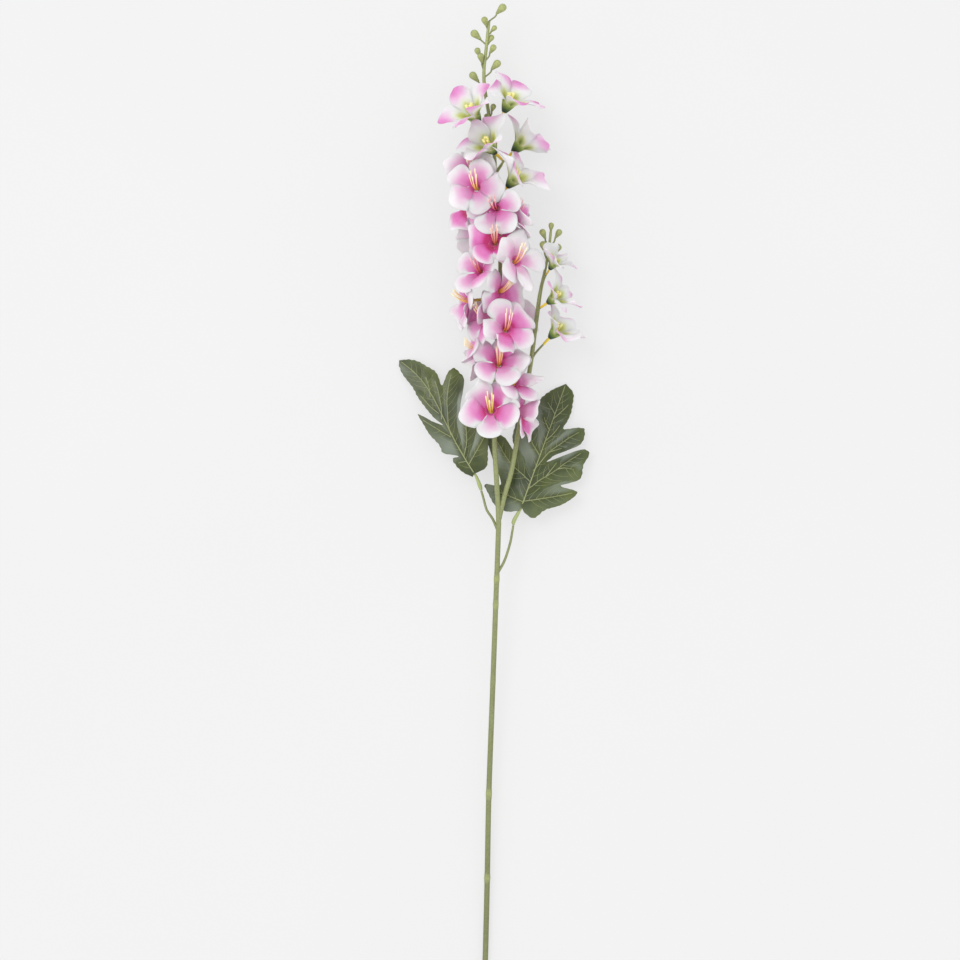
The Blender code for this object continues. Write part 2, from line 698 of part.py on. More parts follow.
def build():
    clear_scene()
    pink = material("open_petals", (0.82, 0.34, 0.55), 0.75)
    white = material("young_petals", (0.86, 0.78, 0.80), 0.75)
    yellow = material("hearts", (0.80, 0.55, 0.10), 0.5)
    green = material("leaves", (0.06, 0.09, 0.035), 0.5)
    stalk_green = material("stem", (0.32, 0.37, 0.15), 0.55)
    socket_green = material("sockets", (0.38, 0.45, 0.18), 0.5)

    florets = [
        Floret(f"floret_{i + 1:02d}", STEM_LINE, row, i + 1) for i, row in enumerate(FLORETS)
    ] + [
        Floret(f"side_floret_{i + 1}", BRANCH_LINE, row, 101 + i) for i, row in enumerate(SIDE_FLORETS)
    ]
    pieces = [main_rod(), axis_rod(BRANCH_LINE, BRANCH_RADII, 1, 1)]
    pieces += [pedicel(floret) for floret in florets]
    pieces += [bud(STEM_LINE, *row) for row in MAIN_BUDS]
    pieces += [bud(BRANCH_LINE, *row) for row in BRANCH_BUDS]
    for leaf in LEAVES:
        thick = np.linspace(*LEAF_STALK, len(leaf.stalk))
        pieces.append(rod(smooth_line(leaf.stalk, 1), thick, 0))
    stem = fuse("stem", pieces, stalk_green)
    shade_round(stem.data)

    hearts = [place(floret.name + "_heart", heart_mesh(floret), yellow) for floret in florets]
    for heart in hearts:
        shade_round(heart.data)
    settle(florets, mesh_tree(stem.data), [mesh_tree(heart.data) for heart in hearts])
    for floret in florets:
        finish = pink if floret.kind is OPEN else white
        cloth = place(floret.name + "_petals", petals_mesh(floret), finish)
        thicken(cloth, PETAL_CLOTH)

    for leaf in LEAVES:
        rib = socket(leaf)
        shade_round(rib.data)
        place("socket_" + leaf.name, rib.data, socket_green)
        bpy.data.objects.remove(rib, do_unlink=True)
        blade = place("leaf_" + leaf.name, leaf_mesh(leaf), green)
        blade.location = Vector(leaf.base) * MM
        blade.rotation_euler = (0, 0, math.radians(leaf.heading))
        thicken(blade, LEAF_CLOTH)


build()
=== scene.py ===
# %% [markdown]
# # A delphinium stem of cloth and moulded plastic
# The real object is an artificial flower. Its stem, stalks and buds are one moulding in green
# plastic. Each floret is a stamped piece of airbrushed cloth with a moulded heart pushed through
# it, and two cut leaves of satin-coated cloth sit on plastic sockets. The stem lies on its side,
# so the camera looks straight down on it.
#
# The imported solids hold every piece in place, with few faces. This script puts a finer skin in
# the place of each one, worked out from the same sizes, and gives it its finish.

# %% Load the frame
import math
import random
from collections import namedtuple

import bmesh
import bpy
import numpy as np
from mathutils.bvhtree import BVHTree
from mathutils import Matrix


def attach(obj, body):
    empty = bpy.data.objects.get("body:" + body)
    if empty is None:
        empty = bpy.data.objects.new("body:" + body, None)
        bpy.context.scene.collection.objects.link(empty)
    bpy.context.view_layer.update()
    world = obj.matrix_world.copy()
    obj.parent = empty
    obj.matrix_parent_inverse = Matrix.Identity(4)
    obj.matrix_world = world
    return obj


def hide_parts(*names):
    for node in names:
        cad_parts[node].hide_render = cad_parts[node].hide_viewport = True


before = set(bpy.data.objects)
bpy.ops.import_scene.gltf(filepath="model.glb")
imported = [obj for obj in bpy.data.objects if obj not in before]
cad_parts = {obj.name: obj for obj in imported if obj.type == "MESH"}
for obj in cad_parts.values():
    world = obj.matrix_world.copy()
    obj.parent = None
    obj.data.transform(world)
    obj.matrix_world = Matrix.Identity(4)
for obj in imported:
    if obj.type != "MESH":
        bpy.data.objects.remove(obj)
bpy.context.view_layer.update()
MM = 0.001

# %% [markdown]
# ## The camera and the light
# The photograph was taken square on, from far away, on white with hardly any shadow. A long lens
# high above the stem gives the same flat view. An even white world fills every fold, and one very
# wide lamp high at the upper left shades the petals and leaves a little.

# %% Camera, lamp and world
FRAME_WIDTH = 0.883
VIEW_CENTRE = (-0.0132, 0.012)
CAMERA_HEIGHT = 6.0
STEM_HEIGHT = 0.038
SENSOR = 36.0
LAMP_PLACE = (-2.2, 1.8, 4.6)
LAMP_SIZE = 3.0
LAMP_POWER = 85
WORLD_LIGHT = 1.20


def link(name, data):
    """A new object with this data, linked into the scene."""
    thing = bpy.data.objects.new(name, data)
    bpy.context.scene.collection.objects.link(thing)
    return thing


def add_camera():
    data = bpy.data.cameras.new("overhead")
    data.sensor_width = SENSOR
    data.lens = SENSOR * (CAMERA_HEIGHT - STEM_HEIGHT) / FRAME_WIDTH
    data.clip_end = 50
    camera = link("overhead", data)
    camera.location = (*VIEW_CENTRE, CAMERA_HEIGHT)
    bpy.context.scene.camera = camera
    return camera


def add_lamp():
    data = bpy.data.lights.new("soft_lamp", "AREA")
    data.shape = "DISK"
    data.size = LAMP_SIZE
    data.energy = LAMP_POWER
    lamp = link("soft_lamp", data)
    lamp.location = LAMP_PLACE
    lamp.rotation_euler = (-lamp.location).to_track_quat("-Z", "Y").to_euler()


def add_world():
    world = bpy.data.worlds.new("even white")
    world.use_nodes = True
    light = world.node_tree.nodes["Background"].inputs
    light["Color"].default_value = (1, 1, 1, 1)
    light["Strength"].default_value = WORLD_LIGHT
    bpy.context.scene.world = world


camera = add_camera()
add_lamp()
add_world()
bpy.context.scene.view_settings.view_transform = "Standard"
print("lens:", round(camera.data.lens), "mm at", CAMERA_HEIGHT, "m")

# %% [markdown]
# ## Shapes as grids
# Every piece is a grid of points: a function of two numbers, worked out for the whole grid at
# once. A stalk is a ring of points carried along a path, a petal is a strip that widens and bends.
# Where a grid meets itself its last column repeats its first, and a pole is a row of equal points,
# so merging equal points closes the skin.
#
# A grid can carry marks, a number at each point. The finishes read these marks, so paint follows
# the cloth wherever the cloth goes.

# %% Smooth lines
def cubic(start, leave, end, arrive, share):
    """The cubic from start to end whose slopes there are leave and arrive."""
    return (
        start + leave * share
        + (3 * (end - start) - 2 * leave - arrive) * share ** 2
        + (2 * (start - end) + leave + arrive) * share ** 3
    )


def smooth_line(points, steps):
    """Catmull-Rom curve: a cubic between each two points, whose slope at a point is half the
    step from the point before it to the point after it."""
    given = np.asarray(points, float)
    ends = np.vstack([2 * given[0] - given[1], given, 2 * given[-1] - given[-2]])
    share = np.linspace(0, 1, steps, endpoint=False)[None, :, None]
    before, here, after, beyond = (ends[k:len(ends) - 3 + k][:, None, :] for k in range(4))
    runs = cubic(here, (after - before) / 2, after, (beyond - here) / 2, share)
    return np.vstack([runs.reshape(-1, given.shape[1]), given[-1:]])


print("points on a smooth line:", len(smooth_line([(0, 0), (1, 1), (2, 0)], 4)))


# %% Tubes
def unit(vectors):
    return vectors / np.linalg.norm(vectors, axis=-1, keepdims=True)


def tube(path, radii, sides=12, flutes=0.0):
    """A ring carried along a path: path + r (cos a * sideways + sin a * upward), where sideways
    and upward are square to the path. flutes deepens five grooves along it, as a share of r.
    The first and last rows are poles that close the ends."""
    path = np.asarray(path, float)
    run = unit(np.gradient(path, axis=0))
    spare = np.eye(3)[np.argmin(np.abs(path[-1] - path[0]))]
    sideways = unit(np.cross(run, spare))
    upward = np.cross(run, sideways)
    angle = np.linspace(0, 2 * math.pi, sides + 1)
    ring = np.cos(angle)[:, None] * sideways[:, None] + np.sin(angle)[:, None] * upward[:, None]
    thick = np.broadcast_to(radii, len(path))[:, None] * (1 + flutes * np.cos(5 * angle))
    skin = path[:, None] + thick[..., None] * ring
    first, last = (np.repeat(path[k][None, None], sides + 1, axis=1) for k in (0, -1))
    return np.concatenate([first, skin, last])


def down_rows(values):
    """A mark that is the same all along each row of a tube, with its two pole rows."""
    return np.concatenate([values[:1], values, values[-1:]])[:, None]


print("rows and columns of a short tube:", tube([(0, 0, 0), (0, 0, 1)], 1.0).shape[:2])

# %% Grids into pieces
MERGE = 0.002


def grid_quads(points):
    """The four corners of each cell of a grid, as places in the list of its points."""
    rows, columns = points.shape[:2]
    index = np.arange(rows * columns).reshape(rows, columns)
    around = index[:-1, :-1], index[:-1, 1:], index[1:, 1:], index[1:, :-1]
    return np.stack(around, axis=-1).reshape(-1, 4)


def make_piece(name, sheets, finishes, closed=True):
    """One object from (points in mm, marks) pairs. Quads join each point of a grid to its
    neighbours, equal points are merged, and closed skins are turned to face outwards."""
    corners, quads, marks, start = [], [], {}, 0
    for points, given in sheets:
        quads.append(start + grid_quads(points))
        corners.append(points.reshape(-1, 3))
        for mark, values in given.items():
            marks.setdefault(mark, []).append(np.ravel(np.broadcast_to(values, points.shape[:2])))
        start += len(corners[-1])
    mesh = bpy.data.meshes.new(name)
    mesh.from_pydata(np.concatenate(corners) * MM, [], np.concatenate(quads).tolist())
    for mark, values in marks.items():
        layer = mesh.attributes.new(mark, "FLOAT", "POINT")
        layer.data.foreach_set("value", np.concatenate(values).astype(np.float32))
    edit = bmesh.new()
    edit.from_mesh(mesh)
    bmesh.ops.remove_doubles(edit, verts=edit.verts, dist=MERGE * MM)
    if closed:
        bmesh.ops.recalc_face_normals(edit, faces=edit.faces)
    edit.to_mesh(mesh)
    edit.free()
    mesh.shade_smooth()
    for finish in finishes:
        mesh.materials.append(finish)
    return link(name, mesh)


def thicken(thing, thickness, back=0):
    """Both faces of the cloth, half its thickness off the sheet. The back takes the finish that
    is so many places further in the piece's list."""
    cloth = thing.modifiers.new("cloth", "SOLIDIFY")
    cloth.thickness = thickness * MM
    cloth.offset = 0.0
    cloth.material_offset = back


def seat(thing, node):
    """The piece stands for a node of the frame and takes that node's place."""
    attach(thing, "root")
    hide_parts(node)


# %% [markdown]
# ## Finishes
# All finishes are mixed from the marks on a piece and from noise in the object's own space, so
# they hold still in every view. A small class keeps the node trees short: each method adds a node
# or two and returns their output, and the last one returns the material.

# %% A small paint box
BLACK, WHITE = (0, 0, 0), (255, 255, 255)


def linear(red, green, blue):
    """A screen colour, 0 to 255, as the linear light that a shader mixes."""
    share = np.array([red, green, blue]) / 255
    return (*np.where(share < 0.04045, share / 12.92, ((share + 0.055) / 1.055) ** 2.4), 1.0)


class Paint:
    """A material under construction."""

    def __init__(self, name, roughness, **sockets):
        self.material = bpy.data.materials.new(name)
        self.material.use_nodes = True
        self.tree = self.material.node_tree
        self.shader = self.tree.nodes["Principled BSDF"]
        self.shader.inputs["Roughness"].default_value = roughness
        for socket, value in sockets.items():
            self.shader.inputs[socket.replace("_", " ")].default_value = value

    def node(self, kind, inputs=(), **settings):
        made = self.tree.nodes.new(kind)
        for key, value in settings.items():
            setattr(made, key, value)
        for socket, value in dict(inputs).items():
            if isinstance(value, bpy.types.NodeSocket):
                self.tree.links.new(value, made.inputs[socket])
            else:
                made.inputs[socket].default_value = value
        return made

    def mark(self, name):
        return self.node("ShaderNodeAttribute", attribute_name=name).outputs["Fac"]

    def noise(self, scale, detail=2.0, stretch=(1, 1, 1)):
        place = self.node("ShaderNodeTexCoord").outputs["Object"]
        place = self.node("ShaderNodeMapping", {"Vector": place, "Scale": stretch}).outputs["Vector"]
        inputs = {"Vector": place, "Scale": scale, "Detail": detail}
        return self.node("ShaderNodeTexNoise", inputs).outputs["Fac"]

    def sums(self, operation, one, other, clamp=False):
        made = self.node("ShaderNodeMath", {0: one, 1: other}, operation=operation, use_clamp=clamp)
        return made.outputs[0]

    def sine(self, value, pitch):
        return self.sums("SINE", self.sums("MULTIPLY", value, pitch), 0.0)

    def waver(self, value, noise, amount):
        """The value, moved up and down by the noise."""
        return self.sums("ADD", value, self.sums("MULTIPLY", self.sums("SUBTRACT", noise, 0.5), amount))

    def ramp(self, factor, stops):
        made = self.node("ShaderNodeValToRGB", {"Fac": factor})
        line = made.color_ramp
        line.elements[0].position, line.elements[0].color = stops[0][0], linear(*stops[0][1])
        line.elements[1].position, line.elements[1].color = stops[-1][0], linear(*stops[-1][1])
        for position, color in stops[1:-1]:
            line.elements.new(position).color = linear(*color)
        return made.outputs["Color"]

    def mix(self, factor, one, other, blend="MIX"):
        inputs = {0: factor, 6: one, 7: other}
        return self.node("ShaderNodeMix", inputs, data_type="RGBA", blend_type=blend).outputs[2]

    def finish(self, color, height=None, depth=0.0):
        """The material, with its colour and the bumps of this height, depth metres deep."""
        self.tree.links.new(color, self.shader.inputs["Base Color"])
        if height is not None:
            made = self.node("ShaderNodeBump", {"Height": height, "Distance": depth})
            self.tree.links.new(made.outputs["Normal"], self.shader.inputs["Normal"])
        return self.material


print("mid grey in linear light:", round(float(linear(128, 128, 128)[0]), 3))

# %% [markdown]
# ## Petal cloth
# The cloth is white polyester, airbrushed by hand from the throat outward: crimson deep in the
# cup, then pink, then bare white at the margins, and no two petals alike. The youngest florets
# are the other way round, white with a pink patch on each tip and a green foot.

# %% Petal finishes
THREAD = 18.0
BLUSH_WAVER = 0.30
SAP_WAVER = 0.08


def petal_finish(name, pinks, greens):
    """Pink by the mark `blush`, covered with green by the mark `sap`, both a little cloudy. The
    threads are the sum of two sine waves at right angles, along the cloth's own marks."""
    paint = Paint(name, 0.75, Sheen_Weight=0.15, Sheen_Roughness=0.4, Specular_IOR_Level=0.3,
                  Subsurface_Weight=0.5, Subsurface_Radius=(1.0, 0.7, 0.85), Subsurface_Scale=0.003)
    cloud = paint.noise(75, 3)
    blush = paint.waver(paint.mark("blush"), cloud, BLUSH_WAVER)
    sap = paint.waver(paint.mark("sap"), cloud, SAP_WAVER)
    cover = paint.ramp(sap, [(0.04, BLACK), (0.40, WHITE)])
    painted = paint.mix(cover, paint.ramp(blush, pinks), paint.ramp(sap, greens))
    shade = paint.ramp(paint.noise(60, 2), [(0.3, (240, 240, 241)), (0.7, (248, 249, 249))])
    threads = paint.sums("ADD", *(paint.sine(paint.mark(way), THREAD) for way in ("warp", "weft")))
    weave = paint.waver(threads, paint.noise(400, 3), 2.0)
    return paint.finish(paint.mix(1.0, painted, shade, "MULTIPLY"), weave, 0.00006)


OPEN_PINKS = [
    (0, (252, 247, 250)), (0.15, (250, 236, 245)), (0.35, (247, 204, 229)), (0.55, (243, 158, 208)),
    (0.74, (235, 112, 184)), (0.88, (224, 70, 150)), (0.95, (198, 42, 98)), (1, (104, 24, 48)),
]
OPEN_BACK_PINKS = [
    (0, (250, 243, 247)), (0.35, (246, 222, 236)), (0.65, (240, 178, 216)), (1, (218, 104, 162)),
]
YOUNG_PINKS = [
    (0, (252, 250, 252)), (0.25, (248, 236, 246)), (0.5, (243, 192, 226)), (0.75, (232, 138, 200)),
    (1, (216, 94, 168)),
]
CUP_GREENS = [
    (0, (248, 248, 238)), (0.25, (236, 240, 204)), (0.5, (206, 216, 116)), (0.75, (168, 184, 58)),
    (1, (86, 108, 34)),
]
FOOT_GREENS = [
    (0, (246, 246, 238)), (0.30, (230, 234, 196)), (0.50, (186, 200, 112)), (0.68, (122, 150, 58)),
    (0.84, (52, 84, 40)), (1, (24, 46, 26)),
]
# The finish of the cloth's face, then that of its back.
open_cloth = (petal_finish("open_petal", OPEN_PINKS, CUP_GREENS),
              petal_finish("open_petal_back", OPEN_BACK_PINKS, CUP_GREENS))
young_cloth = (petal_finish("young_petal", YOUNG_PINKS, CUP_GREENS),
               petal_finish("young_petal_back", YOUNG_PINKS, FOOT_GREENS))
print("petal finishes:", [finish.name for finish in open_cloth + young_cloth])

# %% [markdown]
# ## Where the florets stand
# Each row says where a floret's throat is and which way it faces. The draws of chance are seeded,
# so each petal gets the same small differences as its plain solid has. In the solids each petal
# was also bent until it cleared its neighbours. That bend isn't known here, so it is found again:
# of all the bends that a petal may take, the right one puts its coarse grid nearest the solid.

# %% The lines of the stem and the branch
STEM_LINE = [
    (-9, -450, 2.7), (-8, -420, 3.6), (-6.5, -356, 6.5), (-5, -278, 11), (-1.5, -181, 17),
    (1.5, -98, 23), (3.5, -43, 27), (3.8, -20, 29), (1.5, 21, 31.5), (0, 53, 33),
    (0.5, 86, 34.5), (2, 132, 36), (5, 168, 37), (5.2, 224, 38), (2.5, 270, 38.5),
    (-0.5, 316, 39), (-5, 348, 39), (-9, 373, 38.5), (-9.5, 390, 38), (-8, 404, 37.5),
    (-5, 434, 37),
]
BRANCH_LINE = [
    (3.8, -26, 28.5), (9.5, -2, 29), (16, 21, 28), (21.5, 52, 26), (32.5, 113, 25.5),
    (37.5, 150, 27), (40, 169, 29), (42.5, 186, 30), (47.5, 209, 31), (50.5, 227, 32),
    (52, 241, 32),
]
print("given points of the stem and the branch:", len(STEM_LINE), len(BRANCH_LINE))

# %% The kinds of floret and their places
PETALS = 5
HALF_SECTOR = math.pi / PETALS
CLOTH = 0.4

# One make of floret. Lengths are millimetres, rise and rest are a petal's angles from level at
# the cup's rim and at its tip, and pointed goes from a round tip, 0, to a sharp one. The stamens
# spread from the foot's width to the end's.
Bloom = namedtuple("Bloom", (
    "rim cup length half_width tip_share rise rest cross twist pointed "
    "stamen stamen_rise boss foot end thick"
))
OPEN = Bloom(5, 4.5, 22, 11, 0.38, 38, -10, -0.01, 7, 0, 17, 11, 2.1, 1.6, 3.4, 0.60)
YOUNG = Bloom(6, 9, 27, 9, 0.45, 62, 2, 0.03, 4, 0.5, 17, 2.5, 1.6, 0.9, 2.4, 1.15)

# Kind, x, y, reach from the axis, turn, lift, roll, size, how much pink the cloth took, and
# how warm the stamens are, from yellow (0) over orange (0.5) to crimson (1).
FLORETS = [
    (YOUNG, 9, 350, 17, 55, 58, 0, 1.1, 0.9, 0),
    (YOUNG, -14, 340, 16, -45, 42, 20, 1.15, 0.9, 0),
    (YOUNG, 1, 312, 13, -45, 35, 30, 1.05, 0.6, 0),
    (YOUNG, 17, 314, -19, 100, 45, 0, 1, 0.6, 0),
    (YOUNG, 12, 281, 16, 60, 45, 30, 1.05, 0.7, 0),
    (OPEN, -19, 297, 20, -10, -5, 0, 1, 0.35, 0.4),
    (OPEN, -16, 279, 27, -15, 10, 18, 1.05, 0.4, 0.35),
    (OPEN, -19, 262, 22, -75, 10, -10, 1, 0.75, 0.3),
    (OPEN, 2, 261, 19, -15, -5, 66, 1, 0.5, 0.95),
    (OPEN, 14, 252, 13, 75, 20, 60, 1, 0.8, 0.9),
    (OPEN, 1, 229, 19, -5, 15, 0, 1, 0.9, 0.7),
    (OPEN, 17, 211, 26, 40, 15, 20, 1.1, 0.2, 0.45),
    (OPEN, -11, 202, 20, -40, 20, 0, 1, 0.75, 0.85),
    (OPEN, 3, 185, 15, 50, 0, 20, 1, 0.55, 0.4),
    (OPEN, -19, 177, 24.5, -75, -8, 0, 1.05, 0.65, 0.3),
    (OPEN, -5, 160, 16, -60, 10, 0, 1, 0.75, 0.3),
    (OPEN, 10, 149, 25, 15, 20, 50, 1.05, 0.6, 0.6),
    (OPEN, -10, 132, 13, -80, -5, 18, 1, 0.65, 0.3),
    (OPEN, 4, 117, 18, 5, 30, 15, 1.05, 0.55, 0.45),
    (OPEN, 16, 99, 21, 35, 30, 10, 1, 0.45, 0.05),
    (OPEN, -3, 75, 21, -5, 12, 36, 1.1, 0.6, 0.15),
    (OPEN, 19, 74, 22, 80, -5, 0, 1, 0.85, 0.3),
    (OPEN, -8, 235, -20, -150, 15, 0, 1, 0.5, 0.4),
    (OPEN, 14, 160, -20, 150, 15, 0, 1, 0.5, 0.4),
]
SIDE_FLORETS = [
    (YOUNG, 51, 206, 9, 50, 50, 0, 0.7, 0.4, 0),
    (YOUNG, 49, 175, 12, 60, 30, 0, 0.9, 0.6, 0),
    (YOUNG, 51, 143, 15, 60, 42, 0, 0.95, 0.5, 0),
]
print("young florets:", sum(row[0] is YOUNG for row in FLORETS + SIDE_FLORETS))


# %% A floret's axes and petals
def axis_at(line, y):
    """The point of an axis at this distance along the stem."""
    dense = smooth_line(line, 12)
    return np.array([np.interp(y, dense[:, 1], dense[:, 0]), y, np.interp(y, dense[:, 1], dense[:, 2])])


class Floret:
    """One floret: its throat, its three axes in the stem's frame, and its petals' differences."""

    def __init__(self, name, line, row, seed):
        kind, x, y, reach, turn, lift, roll, size, self.blush, self.warm = row
        self.name, self.kind, self.line, self.size = name, kind, line, size
        axis = axis_at(line, y)
        height = math.sqrt(max(reach ** 2 - (x - axis[0]) ** 2, 0))
        self.throat = np.array([x, y, axis[2] + math.copysign(height, reach)])
        turn, lift = math.radians(turn), math.radians(lift)
        self.facing = np.array(
            [math.sin(turn) * math.cos(lift), math.sin(lift), math.cos(turn) * math.cos(lift)]
        )
        self.up = unit(np.array([0, 1, 0]) - self.facing[1] * self.facing)
        self.right = np.cross(self.up, self.facing)
        draw = random.Random(seed)
        self.petals = [self.petal(roll + 360 / PETALS * i, draw) for i in range(PETALS)]

    def petal(self, even, draw):
        """One petal's bearing, bend, length and twist: those of its kind, each a little off."""
        def near(angle, spread):
            return math.radians(angle + draw.uniform(-spread, spread))

        kind = self.kind
        return {
            "even": math.radians(even), "around": near(even, 4), "rise": near(kind.rise, 7),
            "rest": near(kind.rest, 14), "long": kind.length * draw.uniform(0.93, 1.05),
            "twist": near(kind.twist, 3), "wave": draw.uniform(0, 2 * math.pi),
        }

    def point(self, local):
        """From the floret's own axes (right, up, facing) to the stem's frame."""
        axes = np.array([self.right, self.up, self.facing])
        return self.throat + self.size * (np.asarray(local) @ axes)


florets = [Floret(f"floret_{i + 1:02d}", STEM_LINE, row, i + 1) for i, row in enumerate(FLORETS)]
florets += [
    Floret(f"side_floret_{i + 1}", BRANCH_LINE, row, 101 + i) for i, row in enumerate(SIDE_FLORETS)
]
print("florets:", len(florets))

# %% [markdown]
# ## The shape of a petal
# A petal is a strip over two numbers: s runs from the cup's rim to the tip, t from one margin to
# the other. Its width grows from the rim's arc to the full width, its last row bows out to a
# round or pointed tip, and along s it bends evenly from its rise to its rest. On top of that
# strip the real cloth has relief: a pressed crease along the middle, pleats that run out to a
# ruffled margin, and a tip that the hot iron curled. It is also a little fuller near the rim.

# %% Petal strips
WAVE = 0.9
WIDENS = 2.1
FULL_WIDENS = 1.25
WIDENS_SOON = 2.5
FULLER = 1.13
FULLER_VARIES = 0.10
CREASE = 0.30
CREASE_WIDTH = 0.10
PLEAT = 0.20
RUFFLE = 0.60
UNEVEN = 0.08
HOLLOW = 0.026
CURL = 2.4
ROLL = 0.38


def petal_strip(kind, petal, s, t, relief=0.0):
    """Points of a petal over s (0 to 1) and t (-1 to 1).

    x = blend of rim sin(36 deg t) and half_width sin(90 deg t); along = long (plain part s +
    tip part s^1.5 bow(t)); out and high are the circular arc whose slope goes from rise to rest
    over that length; off lifts the point square to the arc, for the cross curve, twist and wave.
    With relief the strip is fuller and rolled, its outline is uneven, and off also takes the
    crease, the pleats, the ruffled margin, the hollow across and the curl of the tip.
    """
    wave = petal["wave"]
    wide = np.sin(math.pi / 2 * s) ** (WIDENS + (FULL_WIDENS - WIDENS) * min(WIDENS_SOON * relief, 1))
    half_width = kind.half_width * (1 + relief * (FULLER - 1 + FULLER_VARIES * np.sin(3 * wave)))
    uneven = relief * UNEVEN * s ** 2
    x = (1 - wide) * kind.rim * np.sin(HALF_SECTOR * t) + wide * half_width * np.sin(math.pi / 2 * t)
    x = x * (1 + uneven * np.sin(5 * s + 2 * wave))
    round_tip = np.cos(math.pi / 2 * t)
    sharp_tip = 1 - np.abs(np.sin(math.pi / 2 * t)) ** 1.15
    tip = (1 - kind.pointed) * round_tip + kind.pointed * sharp_tip
    along = petal["long"] * ((1 - kind.tip_share) * s + kind.tip_share * s ** 1.5 * tip)
    along = along * (1 + uneven * np.sin(4.2 * t + wave))
    bend = (petal["rest"] - petal["rise"]) / petal["long"]
    slope = petal["rise"] + bend * along
    out = kind.rim + (np.sin(slope) - np.sin(petal["rise"])) / bend
    out = out + kind.rim * (np.cos(HALF_SECTOR * t) - 1) * (1 - s) ** 2
    high = kind.cup - (np.cos(slope) - np.cos(petal["rise"])) / bend
    twist = petal["twist"] * s * (2 - s) + relief * ROLL * np.sin(6 * wave + 2) * s
    off = kind.cross * x ** 2 * s + x * np.sin(twist) + WAVE * s ** 2 * t ** 2 * np.sin(2.5 * t + wave)
    crease = -CREASE * np.exp(-(t / CREASE_WIDTH) ** 2) * np.sin(math.pi * s)
    pleats = PLEAT * s * np.sin(11 * t + 3 * wave) * (0.4 + t ** 2)
    ruffle = RUFFLE * (s ** 4 * np.sin(8 * t + wave) + 0.7 * s * t ** 4 * np.sin(9 * s + wave))
    hollow = HOLLOW * np.sin(7 * wave) * x ** 2 * s
    curl = CURL * np.sin(5 * wave + 1) * s ** 3
    off = off + relief * (crease + pleats + ruffle + hollow + curl)
    out = out - off * np.sin(slope)
    high = high + off * np.cos(slope)
    x = x * np.cos(twist)
    around = petal["around"] if not relief else petal["even"] + (petal["around"] - petal["even"]) * s
    c, d = np.cos(around), np.sin(around)
    return np.stack(np.broadcast_arrays(x * c + out * d, out * c - x * d, high), axis=-1)


# %% Find the bend that each solid petal was given
RISES = range(-40, 41, 10)
RESTS = range(-60, 61, 15)
LENGTHS = (1.0, 0.9, 0.8, 0.7)
GIVES = np.array([(rise, rest, long) for long in LENGTHS for rise in RISES for rest in RESTS])
COARSE_S = np.linspace(0, 1, 4)[1:, None]
COARSE_T = np.linspace(-1, 1, 5)[None, :]


def find_bends(floret):
    """Of all bends, the one whose coarse points lie nearest the solid's corners on average."""
    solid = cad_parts[floret.name + "_petals"].data
    corners = np.unique([corner.co for corner in solid.vertices], axis=0) / MM
    rise, rest, long = GIVES.T[:, :, None, None]
    worst = 0.0
    for petal in floret.petals:
        tried = dict(petal)
        tried["rise"] = petal["rise"] + np.radians(rise)
        tried["rest"] = petal["rest"] + np.radians(rest)
        tried["long"] = petal["long"] * long
        points = floret.point(petal_strip(floret.kind, tried, COARSE_S, COARSE_T))
        away = points.reshape(len(GIVES), -1, 1, 3) - corners
        apart = np.linalg.norm(away, axis=3).min(axis=2).mean(axis=1)
        best = apart.argmin()
        worst = max(worst, apart[best])
        petal.update((key, tried[key][best, 0, 0]) for key in ("rise", "rest", "long"))
    return worst


distances = [find_bends(floret) for floret in florets]
print("farthest a petal lies from its solid's corners:", round(max(distances), 2), "mm")

# %% [markdown]
# ## How strong each petal's relief may be
# Every petal starts as plain as its solid, where none cross. One after another they then take the
# strongest relief at which their sheet crosses no other petal, heart, leaf, socket or stem, and
# at which they stay above the floor and near the solids' own box.

# %% Choose each petal's relief
RELIEFS = (1.5, 1.2, 1.0, 0.8, 0.6, 0.4, 0.2)
LEAST_RELIEF = 0.001
TEST_S = np.linspace(0.22, 1, 9)[:, None]
TEST_T = np.linspace(-1, 1, 9)[None, :]
LOWEST, HIGHEST, WIDEST = 0.4, 90.6, 91.0
STIFF_NODES = ("stem", "leaf_left", "leaf_right", "socket_left", "socket_right")


def sheet_tree(points):
    """A search tree over the quads of a grid of points."""
    return BVHTree.FromPolygons(points.reshape(-1, 3).tolist(), grid_quads(points).tolist())


def node_tree(name):
    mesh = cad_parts[name].data
    corners = [tuple(corner.co / MM) for corner in mesh.vertices]
    return BVHTree.FromPolygons(corners, [tuple(face.vertices) for face in mesh.polygons])


def test_points(floret, petal, relief):
    return floret.point(petal_strip(floret.kind, petal, TEST_S, TEST_T, relief=relief))


def choose_reliefs():
    """Each petal's strongest relief that is free of all the rest, and the petals' mean relief."""
    solid = [node_tree(name) for name in STIFF_NODES]
    solid += [node_tree(floret.name + "_heart") for floret in florets]
    petals = [(floret, petal) for floret in florets for petal in floret.petals]
    trees = [sheet_tree(test_points(*pair, LEAST_RELIEF)) for pair in petals]
    for n, (floret, petal) in enumerate(petals):
        petal["relief"] = LEAST_RELIEF
        others = solid + trees[:n] + trees[n + 1:]
        for relief in RELIEFS:
            points = test_points(floret, petal, relief)
            low, high = points[..., 2].min(), points[..., 2].max()
            if low < LOWEST or high > HIGHEST or np.abs(points[..., 0]).max() > WIDEST:
                continue
            tree = sheet_tree(points)
            if not any(tree.overlap(other) for other in others):
                petal["relief"], trees[n] = relief, tree
                break
    return np.mean([petal["relief"] for _, petal in petals])


print("mean relief of the petals:", round(float(choose_reliefs()), 2))

# %% [markdown]
# ## Paint on a petal
# The airbrush was held over the throat, so the pink fades with the distance from it and toward
# the side margins, less on a floret that took more paint. The spray leaned a little to one side
# of each petal. A young floret is green at its foot, and its pink sits on the tips.

